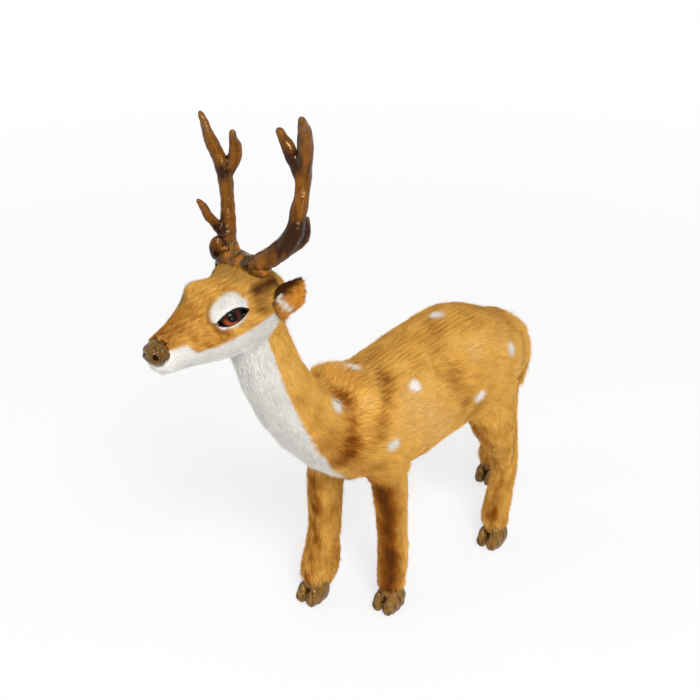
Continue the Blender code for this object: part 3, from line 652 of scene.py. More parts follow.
def coat_painter(coat):
    """A function that paints points in the coat's colours."""
    def paint(points, normals):
        """Colour and whiteness of the coat at points."""
        return coat_pattern(points, normals, coat)

    return paint


def root_shade(whiteness):
    """How dark the fur is at its root, as a share of its colour: less dark where it is white."""
    return (0.76 + 0.18 * whiteness)[:, None]


# Hairs

HAIRS_IN_TUFT = 20
# A hair is a spindle of five corners: its root, three round its waist and its tip
HAIR_CORNERS = 5
RING = np.radians((90.0, 210.0, 330.0))
HAIR_FACES = np.array(((0, 1, 2), (0, 2, 3), (0, 3, 1), (4, 2, 1), (4, 3, 2), (4, 1, 3)))
# How deep the root lies, where along the hair its waist is, how flat the waist is, and the tip's brightness
ROOT_DEPTH = 0.5
WAIST = 0.45
FLATNESS = 0.6
TIP_SHADE = 1.12
# Spread of the hairs: turn in degrees and length of a tuft and of a hair in it, lift and width of a hair
TUFT_TURN = 5.0
HAIR_TURN = 7.0
TUFT_LENGTH = 0.1
HAIR_LENGTH = (0.72, 1.18)
HAIR_LIFT = (0.6, 1.4)
HAIR_WIDTH = (0.75, 1.2)
# Spread of their tone: of a tuft, of a hair in it, and of a white hair
TUFT_TONE = 0.045
HAIR_TONE = 0.07
WHITE_TONE = 0.03
# A hair bows over: its rise below and above the waist, and how far the tuft draws its waist and tip in
LOW_RISE = 1.35
HIGH_RISE = 0.5
WAIST_PULL = 0.12
TIP_PULL = 0.22
# Share of the hairs that stray, and how much longer, steeper and thinner those are
STRAYS = 0.05
STRAY_LENGTH = 1.25
STRAY_LIFT = 1.6
STRAY_WIDTH = 0.7
# A hair's corners on the sheet its colours are baked on, across from its own strip and then along it, and the
# sheet's margin
STRIP_ACROSS = (0.0, -0.004, 0.0, 0.004, 0.0)
STRIP_ALONG = (0.04, 0.5, 0.5, 0.5, 0.96)
STRIP_MARGIN = 0.02
# How far the shading leans from the skin's normals: along the hair at its tip, and outwards round its waist
TIP_LEAN = 0.4
WAIST_UP = 0.75
WAIST_LEAN = 0.55


def spread_roots(corners, faces, normals, density, rng):
    """Evenly spread hair roots on triangles, with the skin's normals there."""
    a, b, c = (corners[faces[:, k]] for k in range(3))
    area = np.cumsum(0.5 * np.linalg.norm(np.cross(b - a, c - a), axis=1))
    count = max(int(area[-1] * density), 1)
    pick = np.searchsorted(area, (np.arange(count) + rng.random(count)) / count * area[-1])
    pick = np.minimum(pick, len(faces) - 1)
    u, v = rng.random(count), rng.random(count)
    over = u + v > 1.0
    u[over], v[over] = 1.0 - u[over], 1.0 - v[over]
    shares = np.stack((1.0 - u - v, u, v), axis=1)[:, :, None]
    return (corners[faces[pick]] * shares).sum(axis=1), unit((normals[faces[pick]] * shares).sum(axis=1))


def grow_hairs(name, roots, normals, flow, pile, lift, width, paint, material, rng):
    """Spindle-shaped hairs that lie along a flow, gathered into tufts and painted where they lie."""
    count = len(roots)
    tangent = unit(flow - normals * dot(flow, normals)[:, None])
    tufts = roots[rng.permutation(count)[:max(count // HAIRS_IN_TUFT, 1)]]
    tree = KDTree(len(tufts))
    for k, place in enumerate(tufts):
        tree.insert(place, k)
    tree.balance()
    tuft = np.array([tree.find(root)[1] for root in roots])
    turn = rng.normal(0.0, TUFT_TURN, len(tufts))[tuft] + rng.normal(0.0, HAIR_TURN, count)
    turn = np.radians(turn)[:, None]
    tangent = unit(np.cos(turn) * tangent + np.sin(turn) * np.cross(normals, tangent))
    pile = pile * (1.0 + rng.normal(0.0, TUFT_LENGTH, len(tufts))[tuft]) * rng.uniform(*HAIR_LENGTH, count)
    stray = rng.random(count) < STRAYS
    pile = np.where(stray, pile * STRAY_LENGTH, pile)[:, None]
    rise = np.radians(lift * rng.uniform(*HAIR_LIFT, count) * np.where(stray, STRAY_LIFT, 1.0))[:, None]
    pull = tufts[tuft] - roots
    pull -= normals * dot(pull, normals)[:, None] + tangent * dot(pull, tangent)[:, None]
    start = roots - normals * ROOT_DEPTH
    steep = tangent * np.cos(LOW_RISE * rise) + normals * np.sin(LOW_RISE * rise)
    waist = roots + WAIST * pile * steep + WAIST_PULL * pull
    shallow = tangent * np.cos(HIGH_RISE * rise) + normals * np.sin(HIGH_RISE * rise)
    tip = waist + (1.0 - WAIST) * pile * shallow + TIP_PULL * pull
    along = unit(tip - start)
    side = unit(np.cross(along, normals))
    over = np.cross(side, along)
    corners, shading, shades = (np.empty((count, HAIR_CORNERS, 3)) for _ in range(3))
    corners[:, 0], corners[:, 4] = start, tip
    shading[:, 0], shading[:, 4] = normals, unit(normals + TIP_LEAN * along)
    half = (width / 2 * rng.uniform(*HAIR_WIDTH, count) * np.where(stray, STRAY_WIDTH, 1.0))[:, None]
    for k, angle in enumerate(RING):
        out = math.cos(angle) * side + FLATNESS * math.sin(angle) * over
        corners[:, k + 1] = waist + half * out
        shading[:, k + 1] = unit(WAIST_UP * normals + WAIST_LEAN * out)
    low, whiteness = paint(roots, normals)
    mid, high = paint(waist, normals)[0], paint(tip, normals)[0]
    tone = 1.0 + rng.normal(0.0, TUFT_TONE, len(tufts))[tuft] + rng.normal(0.0, HAIR_TONE, count)
    tone = tone * (1.0 - whiteness) + whiteness * (1.0 + rng.normal(0.0, WHITE_TONE, count))
    tone = tone[:, None]
    shades[:, 0] = low * tone * root_shade(whiteness)
    shades[:, 1:4] = (mid * tone)[:, None]
    shades[:, 4] = high * tone * TIP_SHADE
    rank = np.argsort(np.argsort(shades[:, 1].sum(axis=1))) / count
    uv = np.empty((count, HAIR_CORNERS, 2))
    uv[:, :, 0] = STRIP_MARGIN + (1.0 - 2 * STRIP_MARGIN) * rank[:, None] + np.array(STRIP_ACROSS)
    uv[:, :, 1] = STRIP_ALONG
    faces = (HAIR_FACES[None] + HAIR_CORNERS * np.arange(count)[:, None, None]).reshape(-1, 3)
    return make_piece(name, corners.reshape(-1, 3), faces, shades.reshape(-1, 3), material, (),
                      uv.reshape(-1, 2), shading.reshape(-1, 3))


# The coat

# Cells and smoothing passes of the body's skin, the thickness of a fur panel's backing, and the height of the
# rise in the back with its place along the body and its half length
BODY_VOXEL = 1.5
BODY_RELAX = 9
PANEL_DEPTH = 1.0
BACK_RISE = 3.0
RISE_PLACE = 30.0
RISE_LENGTH = 21.0
BODY_NODES = ("torso_core", "neck_core", "head_core", *("leg_core_" + leg for leg in LEGS),
              *(part + side for part in ("eye_rim_", "eye_lens_", "eye_iris_") for side in SIDES))
LARGE_PANELS = ("torso_pelt", "neck_pelt", "throat_pelt")
PANELS = (*LARGE_PANELS, "head_pelt", "muzzle_pelt", *("eye_patch_" + side for side in SIDES),
          *("leg_pelt_" + leg for leg in LEGS))
# Swellings of shoulders, haunches, neck foot, crown, brows and one shin: middle and half sizes
SWELLINGS = (((17.6, -60.0, 112.0), (12.5, 18.0, 26.0)), ((-17.6, -70.0, 114.0), (12.5, 18.0, 26.0)),
             ((18.1, 34.0, 114.0), (13.5, 25.0, 28.0)), ((-16.0, 59.0, 118.0), (12.3, 20.0, 20.0)),
             ((9.0, -92.0, 132.0), (12.0, 13.0, 22.0)), ((-9.0, -92.0, 132.0), (12.0, 13.0, 22.0)),
             ((0.5, -149.5, 233.6), (18.5, 14.5, 12.0)), ((-8.3, -173.0, 236.8), (4.8, 8.0, 4.2)),
             ((8.3, -173.0, 236.4), (4.8, 8.0, 4.2)), ((-18.2, -71.0, 35.0), (6.9, 7.1, 24.0)))
# How deep the skin lies under the body's CAD panels, how much less deep on the upper legs, lower legs and
# head, and the stretches down the legs and forward over which that sets in
SKIN_DEPTH = 0.6
UPPER_LEG_FULLER = 0.3
UPPER_LEG_STRETCH = (-108.0, -85.0)
LOWER_LEG_FULLER = 1.15
LOWER_LEG_STRETCH = (-75.0, -22.0)
HEAD_FULLER = 0.2
HEAD_STRETCH = (140.0, 160.0)
# Run of the hair on legs, neck and throat: low down, high up, and the heights between which it changes
UPRIGHT_RUNS = {"leg": ((0.0, 0.1, -1.0), (0.0, 0.9, -0.7), (84.0, 112.0)),
                "neck": ((0.0, 0.95, -0.5), (0.0, 0.35, -1.0), (130.0, 175.0)),
                "throat": ((0.0, 0.7, -1.0), (0.0, 0.3, -1.0), (110.0, 150.0))}
# Stretches over which the run changes elsewhere: back over the rump, away from an eye and from the edge of
# the white front, and up to the head
RUMP_RUN = (45.0, 82.0)
EYE_RUN = (9.0, 15.0)
EDGE_RUN = (4.0, 16.0)
NAPE_RUN = (190.0, 210.0)
# Swirls in the run of the hair: strength and size
SWIRL = 0.16
SWIRL_SIZE = 16.0
# Lift of the hair off the skin in degrees, and how much less it is on the upper legs and over the hooves
BODY_LIFT = 8.5
NECK_LIFT = 11.0
HEAD_LIFT = 14.0
LEG_LIFT = 16.0
LEG_EASE = 6.0
# The neck's hair against the body's, the fringe over the hooves, and the stretches of upper legs, fringe and
# face over which the hair's length changes
NECK_PILE = 0.92
FRINGE = 1.5
HIP_STRETCH = (70.0, 110.0)
FRINGE_STRETCH = (-26.0, -15.0)
FACE_STRETCH = (170.0, 202.0)
# Small panels have finer hair: how much denser and thinner it is
FINE_DENSITY = 1.5
FINE_WIDTH = 0.72
# Hair keeps this far from the hard pieces and from the eyes' almonds, and the skin reaches this far under the
# lids. The undersides of the leg sleeves, low down and facing the ground, have no hair.
HARD_GAP = 0.5
EYE_GAP = 0.3
EYE_TUCK = 0.6
SLEEVE_END = 20.0
LOOKS_DOWN = -0.7
# The torso's hair is split at this place along the body, so that no piece has too many triangles.
SPLIT_PLACE = -8.0
HARD_NODES = ("antler_bridge", "nose_pad", *("hoof_" + leg for leg in LEGS))


def nearest_node(points, names):
    """Index of the CAD piece nearest to each point, and its distance, negative inside it."""
    corners, faces, owner, base = [], [], [], 0
    for k, name in enumerate(names):
        node_corners, node_faces = node_mesh(name)
        corners.append(node_corners)
        faces.append(node_faces + base)
        owner += [k] * len(node_faces)
        base += len(node_corners)
    tree = BVHTree.FromPolygons(np.concatenate(corners).tolist(), np.concatenate(faces).tolist())
    found = [tree.find_nearest(p) for p in points.tolist()]
    away = dot(points - np.array([hit[0] for hit in found]), np.array([hit[1] for hit in found]))
    distance = np.array([hit[3] for hit in found])
    return np.array([owner[hit[2]] for hit in found]), np.where(away < 0.0, -distance, distance)


def coat_flow(points, normals, panel):
    """Direction in which the hair lies."""
    x, y, z = (points - ZERO).T
    flow = np.zeros_like(points)
    if panel == "torso_pelt":
        rump = ramp(y, *RUMP_RUN)
        flow[:, 1] = 1.0 - 0.55 * rump
        flow[:, 2] = -0.16 * np.abs(normals[:, 0]) - 0.9 * rump
    elif panel.split("_")[0] in UPRIGHT_RUNS:
        low, high, heights = UPRIGHT_RUNS[panel.split("_")[0]]
        flow = mix(flow + low, high, ramp(z, *heights))
    else:
        flow[:, 1] = 1.0
        flow[:, 2] = 0.15 * ramp(normals[:, 2], -0.2, 0.6) - 0.3 * ramp(-normals[:, 2], 0.0, 0.6)
        flow[:, 0] = 0.25 * np.sign(x) * ramp(normals[:, 2], 0.2, 0.9)
        for side in SIDES:
            away = points - eye_axes(side)[0]
            share = 1.0 - ramp(np.linalg.norm(away, axis=1), *EYE_RUN)
            flow = mix(flow, unit(away) + (0.0, 0.35, 0.0), share)
        flow = mix(flow, CROWN_RUN, crown_share(points))
    if panel in LARGE_PANELS:
        edge = np.abs(depth_inside(mirrored(points)[:, 1:], WHITE_FRONT))
        share = (1.0 - ramp(edge, *EDGE_RUN)) * (1.0 - ramp(z, *NAPE_RUN)) * (y < CHEST_END)
        flow = mix(unit(flow), THROAT_RUN, share)
    swirl = np.stack([wander(points, SWIRL_SIZE, 11 + k) for k in range(3)], axis=1)
    return unit(flow) + SWIRL * swirl


def coat_pile(points, panel, coat):
    """Length of the hair and its lift off the skin in degrees."""
    z = points[:, 2]
    ones = np.ones(len(points))
    if panel == "torso_pelt":
        return ones * coat.body_pile / MM, ones * BODY_LIFT
    if panel.startswith("leg_pelt"):
        upper = ramp(z, *HIP_STRETCH)
        fringe = ramp(-z, *FRINGE_STRETCH)
        pile = coat.leg_pile / MM + upper * (coat.body_pile - coat.leg_pile) / MM + FRINGE * fringe
        return pile, LEG_LIFT - LEG_EASE * upper - LEG_EASE * fringe
    if panel in ("neck_pelt", "throat_pelt"):
        return ones * NECK_PILE * coat.body_pile / MM, ones * NECK_LIFT
    front = ramp(ZERO[1] - points[:, 1], *FACE_STRETCH)
    crown = crown_share(points)
    return coat.head_pile / MM * (1.0 - 0.3 * front + 0.1 * crown), HEAD_LIFT + 6.0 * crown


def body_skin():
    """Corners, triangles and normals of the skin that the hair grows from, with its folds pressed in."""
    swellings = [(ZERO + middle, radii) for middle, radii in SWELLINGS]
    corners, faces = skin_over(BODY_NODES + PANELS, BODY_VOXEL, swellings)
    corners = relaxed(corners, faces, BODY_RELAX)
    normals = normals_of(corners, faces)
    flank = mirrored(corners)
    height = corners[:, 2]
    inset = SKIN_DEPTH - UPPER_LEG_FULLER * ramp(-height, *UPPER_LEG_STRETCH)
    inset -= LOWER_LEG_FULLER * ramp(-height, *LOWER_LEG_STRETCH)
    inset -= HEAD_FULLER * ramp(-flank[:, 1], *HEAD_STRETCH)
    inset -= BACK_RISE * bell(flank[:, 1] - RISE_PLACE, RISE_LENGTH) * ramp(normals[:, 2], 0.1, 0.9)
    for line, width, depth, _ in FOLDS:
        inset += depth * bell(line_distance(flank, line), width)
    corners = corners - normals * inset[:, None]
    return corners, faces, normals_of(corners, faces)


def build_coat(coat):
    """The fur panels of body, neck, head and legs, with their hair."""
    corners, faces, normals = body_skin()
    middles = corners[faces].mean(axis=1)
    owner, _ = nearest_node(middles, PANELS)
    open_face = np.max([almond_depth(middles, side, -EYE_TUCK) for side in SIDES], axis=0) > 0.0
    paint = coat_painter(coat)
    colours, whiteness = paint(corners, normals)
    undercoat = colours * root_shade(whiteness)
    tan_fur, white_fur = fur_material("Tan dyed fur"), fur_material("White fur")
    tan_back, white_back = backing_material("Tan undercoat"), backing_material("White undercoat")
    for k, panel in enumerate(PANELS):
        rng = np.random.default_rng(COAT_SEED + k)
        white = panel in ("throat_pelt", "muzzle_pelt") or panel.startswith("eye_patch")
        own = faces[(owner == k) & ~open_face]
        sheet_corners, sheet_faces, source = thick_panel(corners, own, normals, PANEL_DEPTH)
        label = panel.replace("_pelt", "")
        make_piece(label + "_panel", sheet_corners, sheet_faces, undercoat[source],
                   white_back if white else tan_back, (panel,))
        small = not (panel.startswith("leg") or panel in LARGE_PANELS)
        density = coat.density * (FINE_DENSITY if small else 1.0)
        width = coat.hair_width / MM * (FINE_WIDTH if small else 1.0)
        roots, ups = spread_roots(corners, own, normals, density, rng)
        _, gap = nearest_node(roots, HARD_NODES)
        clear = (gap > HARD_GAP) & ~((roots[:, 2] < SLEEVE_END) & (ups[:, 2] < LOOKS_DOWN))
        for side in SIDES:
            clear &= almond_depth(roots, side, EYE_GAP) < 0.0
        roots, ups = roots[clear], ups[clear]
        halves = {"": np.ones(len(roots), bool)}
        if panel == "torso_pelt":
            left, fore = roots[:, 0] >= MIDDLE, roots[:, 1] < ZERO[1] + SPLIT_PLACE
            halves = {"_fore_left": left & fore, "_fore_right": ~left & fore,
                      "_hind_left": left & ~fore, "_hind_right": ~left & ~fore}
        for half, chosen in halves.items():
            place, up = roots[chosen], ups[chosen]
            pile, lift = coat_pile(place, panel, coat)
            flow = coat_flow(place, up, panel)
            grow_hairs(label + "_fur" + half, place, up, flow, pile, lift, width, paint,
                       white_fur if white else tan_fur, rng)


# The tail: cells and smoothing passes of its skin, its undercoat's shade, and its hair's length against the
# body's, lift and run
TAIL_VOXEL = 1.1
TAIL_RELAX = 5
TAIL_UNDERCOAT = 0.55
TAIL_PILE = 1.1
TAIL_LIFT = 15.0
TAIL_RUN = (0.0, 0.25, -1.0)


def build_tail(coat):
    """The short hanging tail: a closed skin with longer hair."""
    corners, faces = skin_over(("tail_pelt",), TAIL_VOXEL)
    corners = relaxed(corners, faces, TAIL_RELAX)
    normals = normals_of(corners, faces)
    paint = coat_painter(coat)
    colours, _ = paint(corners, normals)
    make_piece("tail_panel", corners, faces, colours * TAIL_UNDERCOAT, backing_material("Tail undercoat"),
               ("tail_pelt",))
    rng = np.random.default_rng(TAIL_SEED)
    roots, ups = spread_roots(corners, faces, normals, coat.density, rng)
    ones = np.ones(len(roots))
    grow_hairs("tail_fur", roots, ups, np.outer(ones, TAIL_RUN), ones * TAIL_PILE * coat.body_pile / MM,
               ones * TAIL_LIFT, coat.hair_width / MM, paint, fur_material("Tail fur"), rng)


# The ears: cells and smoothing passes of their skin, their undercoat's shade, and their hair's density
# against the coat's, length, lift and width
EAR_VOXEL = 0.7
EAR_RELAX = 4
EAR_UNDERCOAT = 0.6
EAR_DENSITY = 2.4
EAR_PILE = 3.2
EAR_LIFT = 16.0
EAR_HAIR = 0.3
# Middle of the head, from which an ear's root and tip are told apart, each by this many corners
HEAD_MIDDLE = (0.0, -155.0, 222.0)
EAR_END = 40
# The ears' own shades of the coat's tan, brown and white
EAR_TAN = (0.66, 0.5, 0.32)
EAR_BROWN = 0.75
EAR_WHITE = 0.78


def build_ears(coat):
    """The folded ear leaves with pale fur inside and dark fur along the upper edge."""
    tan, brown, white = (np.array(colour) for colour in (coat.tan, coat.brown, coat.white))
    backing, fur = backing_material("Ear leather"), fur_material("Ear fur")
    for k, side in enumerate(SIDES):
        names = ("ear_" + side, "ear_lining_" + side)
        corners, faces = skin_over(names, EAR_VOXEL)
        corners = relaxed(corners, faces, EAR_RELAX)
        normals = normals_of(corners, faces)
        rng = np.random.default_rng(EAR_SEED + k)
        roots, ups = spread_roots(corners, faces, normals, EAR_DENSITY * coat.density, rng)
        outwards = np.argsort(distance_from(ZERO + HEAD_MIDDLE, corners))
        root, tip = corners[outwards[:EAR_END]].mean(axis=0), corners[outwards[-EAR_END:]].mean(axis=0)
        axis = unit(tip - root)

        def paint(points, ups):
            """Colour and paleness of the ear at points."""
            inner, _ = nearest_node(points, names)
            share = dot(points - root, axis) / np.linalg.norm(tip - root)
            height = points[:, 2] - (root + share[:, None] * (tip - root))[:, 2]
            edge = ramp(height + wander(points, 4.0, 5), -1.0, 3.5)
            colour = mix(np.tile(tan * EAR_TAN, (len(points), 1)), brown * EAR_BROWN, edge)
            pale = (inner == 1) * bell(share - 0.27 + 0.05 * wander(points, 3.0, 6), 0.09)
            return mix(colour, white * EAR_WHITE, pale), pale

        colours, _ = paint(corners, normals)
        make_piece("ear_panel_" + side, corners, faces, colours * EAR_UNDERCOAT, backing, names)
        flow = axis + 0.12 * np.stack([wander(roots, 6.0, 21 + j) for j in range(3)], axis=1)
        ones = np.ones(len(roots))
        grow_hairs("ear_fur_" + side, roots, ups, flow, ones * EAR_PILE, ones * EAR_LIFT, EAR_HAIR, paint,
                   fur, rng)


# Hard pieces


# Castings: cells of the skin, smoothing passes, and the lumps' height and size
ANTLER_CASTING = {"voxel": 0.6, "passes": 4, "lump": 0.24, "lump_size": 5.0}
HOOF_CASTING = {"voxel": 0.45, "passes": 3, "lump": 0.15, "lump_size": 3.2}
NOSE_CASTING = {"voxel": 0.5, "passes": 4, "lump": 0.3, "lump_size": 5.0}
# Small lumps between the large ones: height and size against theirs
SMALL_LUMP = 0.5
SMALL_LUMP_SIZE = 0.45
# Smoothing passes whose pull tells hollows from humps
HOLLOW_PASSES = 24


def cast_piece(names, voxel, passes, lump, lump_size, seed, swellings=(), grain=(1.0, 1.0, 1.0)):
    """Corners, triangles, normals and hollowness of a smooth casting over CAD pieces, lumpy along a grain."""
    corners, faces = skin_over(names, voxel, swellings)
    corners = relaxed(corners, faces, passes)
    normals = normals_of(corners, faces)
    bumps = wander(corners * grain, lump_size, seed)
    bumps += SMALL_LUMP * wander(corners * grain, SMALL_LUMP_SIZE * lump_size, seed + 1)
    corners = corners + normals * (lump * bumps)[:, None]
    normals = normals_of(corners, faces)
    hollow = dot(relaxed(corners, faces, HOLLOW_PASSES) - corners, normals)
    return corners, faces, normals, hollow


# Direction of the light: antlers and hooves get painted shade on their sides that face away from it
LIT_SIDE = np.array((0.71, -0.6, 0.36))
# Pools of painted shadow in the antlers' hollows and forks: how strong they are, then the place and radius of
# each
POOL_STRENGTH = 1.6
SHADE_POOLS = (((27.0, -146.0, 263.0), 9.0), ((29.0, -139.0, 266.0), 5.0), ((22.0, -137.0, 297.0), 6.0),
               ((-18.0, -142.0, 284.0), 4.0), ((-14.0, -153.0, 247.5), 5.0), ((-16.0, -148.0, 257.0), 4.0),
               ((6.0, -152.0, 247.0), 4.0))
# Lumps and streaks of stain are drawn out upwards by these grains
GNARL_GRAIN = (1.0, 1.0, 0.3)
STREAK_GRAIN = (1.0, 1.0, 0.1)
# How far under an antler's top its worn grey starts and is full
WORN_FROM = 16.0
WORN_FULL = 2.0
# Blunt, thick tines: place, reach and how much fuller than the CAD branch the casting is there
TINES = {"antler_left": (((24.0, -138.0, 308.0), 20.0, 1.1),),
         "antler_right": (((-22.0, -140.0, 300.0), 18.0, 0.55), ((-21.0, -152.5, 267.0), 7.0, 0.7)),
         "antler_bridge": ()}
# The stub before the right antler's foot: middle and half sizes
STUB = ((-13.8, -152.5, 250.0), (3.8, 3.6, 6.4))


def build_antlers(trim):
    """Both antlers and their saddle, cast gnarled, stained in streaks, with painted shade in forks and
    hollows.
    """
    resin = resin_material()
    base, stain_and_shade = np.array(trim.antler), np.array(trim.antler_stain_and_shade)
    worn, amber = np.array(trim.antler_tip), np.array(trim.antler_amber)
    for k, name in enumerate(TINES):
        stubs = [(ZERO + STUB[0], STUB[1])] if name == "antler_right" else []
        corners, faces, normals, hollow = cast_piece((name,), seed=ANTLER_SEED + 3 * k, swellings=stubs,
                                                     grain=GNARL_GRAIN, **ANTLER_CASTING)
        for place, reach, fuller in TINES[name]:
            near = bell(distance_from(place, corners - ZERO), reach)
            corners = corners + normals * (fuller * near)[:, None]
        streaks = wander(corners * STREAK_GRAIN, 3.4, 70 + k)
        # Painted shade on the side away from the light, in the hollows and in the shade pools; the streaks
        # are stain
        away = 1.0 - ramp(normals @ LIT_SIDE, 0.0, 0.9)
        share = ramp(hollow, 0.0, 0.3) + 0.75 * away + 0.25 * streaks
        for place, radius in SHADE_POOLS:
            share += POOL_STRENGTH * bell(distance_from(place, corners - ZERO), radius)
        colour = mix(np.tile(base, (len(corners), 1)), stain_and_shade, np.clip(share, 0.0, 1.0))
        top = corners[:, 2].max()
        high = ramp(corners[:, 2], top - WORN_FROM, top - WORN_FULL)
        colour = mix(colour, worn, 0.45 * high * ramp(streaks, -0.8, 0.6))
        if name == "antler_bridge":
            colour = mix(colour, amber, ramp(wander(corners, 5.0, 80), -0.3, 0.9) * 0.6)
        make_piece(name + "_cast", corners, faces, colour, resin, (name,))


# Swellings of each toe: across from the hoof's middle, back from its front, height, then half width, length
# and height. The coronet over them lies in the hoof's middle.
TOES = ((3.7, 4.9, 4.3, 3.5, 4.9, 4.8), (3.9, 8.8, 6.0, 3.9, 7.8, 7.2), (3.6, 12.6, 7.4, 4.2, 5.8, 7.8))
CORONET = (11.6, 12.2, 6.9, 7.3, 5.6)


def build_hooves(trim):
    """Four cloven hooves: two rounded toes with a deep cleft, darkened with painted shade."""
    plastic = hoof_material("Moulded hoof plastic")
    base, stain_and_shade = np.array(trim.hoof), np.array(trim.hoof_stain_and_shade)
    for k, leg in enumerate(LEGS):
        name = "hoof_" + leg
        points, _ = node_mesh(name)
        low, high = points.min(axis=0), points.max(axis=0)
        middle = (low[0] + high[0]) / 2
        swellings = [((middle + side * x, low[1] + y, z), sizes)
                     for x, y, z, *sizes in TOES for side in (-1, 1)]
        y, z, *sizes = CORONET
        swellings.append(((middle, low[1] + y, z), sizes))
        corners, faces, normals, hollow = cast_piece((), seed=HOOF_SEED + 3 * k, swellings=swellings,
                                                     grain=GNARL_GRAIN, **HOOF_CASTING)
        corners[:, 2] = np.maximum(corners[:, 2], 0.0)
        # Painted shade in the cleft, over the lowest 3 mm and on the side away from the light; the streaks
        # are stain
        share = ramp(hollow, 0.0, 0.25) + 0.5 * ramp(-corners[:, 2], -3.0, 0.0)
        share += 0.4 * wander(corners * GNARL_GRAIN, 2.6, 120 + k)
        share = np.clip(share + 0.85 * (1.0 - ramp(normals @ LIT_SIDE, 0.1, 0.85)), 0.0, 1.0)
        colour = mix(np.tile(base, (len(corners), 1)), stain_and_shade, share)
        make_piece(name + "_cast", corners, faces, colour, plastic, (name,))


# The nose: its own shade of the hooves' colour, and its nostrils, each found by this many of the most hollow
# corners, with a halo of painted shade of this radius and strength
NOSE_SHADE = (0.66, 0.66, 0.56)
NOSTRIL_CORNERS = 30
NOSTRIL_HALO = 3.2
NOSTRIL_STRENGTH = 0.85


def build_nose(trim):
    """The moulded nose with its two nostrils."""
    corners, faces, _, hollow = cast_piece(("nose_pad",), seed=NOSE_SEED, **NOSE_CASTING)
    base, stain_and_shade = np.array(trim.hoof) * NOSE_SHADE, np.array(trim.hoof_stain_and_shade)
    # Painted shade in the nose's hollows, with blotches of stain
    share = ramp(hollow + 0.2 * wander(corners, 4.0, 112), -0.15, 0.35)
    colour = mix(np.tile(base, (len(corners), 1)), stain_and_shade, share)
    for flank in (corners[:, 0] > MIDDLE, corners[:, 0] < MIDDLE):
        nostril = corners[flank][np.argsort(hollow[flank])[-NOSTRIL_CORNERS:]].mean(axis=0)
        colour = mix(colour, stain_and_shade, NOSTRIL_STRENGTH * bell(distance_from(nostril, corners), NOSTRIL_HALO))
    make_piece("nose_cast", corners, faces, colour, hoof_material("Moulded nose plastic"),
               ("nose_pad",))


# The lids: steps round their almond, their width, how much shorter their opening is, and their section, as
# shares of the way from the outer edge to the opening with heights above the front of the CAD lids
LID_STEPS = 72
LID_WIDTH = 0.8
LID_CORNERS = 3.4
LID_SECTION = ((0.0, -2.5), (0.0, -0.2), (0.25, 0.3), (0.6, 0.4), (1.0, 0.0), (1.0, -2.5))
# How fast the head bends away from the eye's plane, by the square of the distance
HEAD_BEND = 0.024
# The dome: how far its edge reaches under the lids, its rings, roundness, rise and back
DOME_UNDER_LIDS = 0.4
EYE_RINGS = 26
DOME_RADIUS = 9.0
DOME_RISE = 1.5
DOME_BACK = -2.8
# The painted eye: its middle, iris and pupil, the dark upper iris as a share of its colour, and the lit way
EYE_MIDDLE = (1.3, 0.5)
IRIS_RADIUS = 4.6
PUPIL_RADIUS = 2.6
IRIS_DARK = (0.2, 0.14, 0.12)
IRIS_LIT = (0.5, -0.87)
IRIS_RAYS = 26


def almond(steps, length, height):
    """Flat almond outline: points at its two corners, with sides that bow out."""
    angle = np.linspace(0.0, math.tau, steps, endpoint=False)
    rise = height / 2 * np.sin(angle) * np.abs(np.sin(angle))
    return np.stack((length / 2 * np.cos(angle) - LID_SKEW * rise, rise), axis=1)


def ring_faces(rings, steps):
    """Triangles between following rings of points."""
    k, j = np.meshgrid(np.arange(rings - 1), np.arange(steps), indexing="ij")
    a, b = k * steps + j, k * steps + (j + 1) % steps
    c, d = a + steps, b + steps
    return np.concatenate([np.stack(corners, axis=-1).reshape(-1, 3) for corners in ((a, b, d), (a, d, c))])


def eye_placer(side):
    """A function that sets flat places and heights on an eye, and whether its axes are right-handed."""
    middle, forward, up, out = lid_axes(side)
    lids, _ = node_mesh("eye_rim_" + side)
    front = np.max((lids - middle) @ out)

    def placed(flat, height):
        """Points from flat places and heights above the lids' front, bent round the head."""
        drop = HEAD_BEND * (flat ** 2).sum(axis=-1)
        return middle + flat[:, :1] * forward + flat[:, 1:] * up + (front + height - drop)[:, None] * out

    return placed, np.linalg.det(np.stack((forward, up, out))) > 0


def lid_mesh(placed):
    """Corners and triangles of a closed ring of lids."""
    outer = almond(LID_STEPS, LID_LENGTH, LID_HEIGHT)
    inner = almond(LID_STEPS, LID_LENGTH - LID_CORNERS, LID_HEIGHT - 2 * LID_WIDTH)
    corners = np.concatenate([placed(outer + share * (inner - outer), np.full(LID_STEPS, height))
                              for share, height in LID_SECTION])
    return corners, ring_faces(len(LID_SECTION) + 1, LID_STEPS) % len(corners)


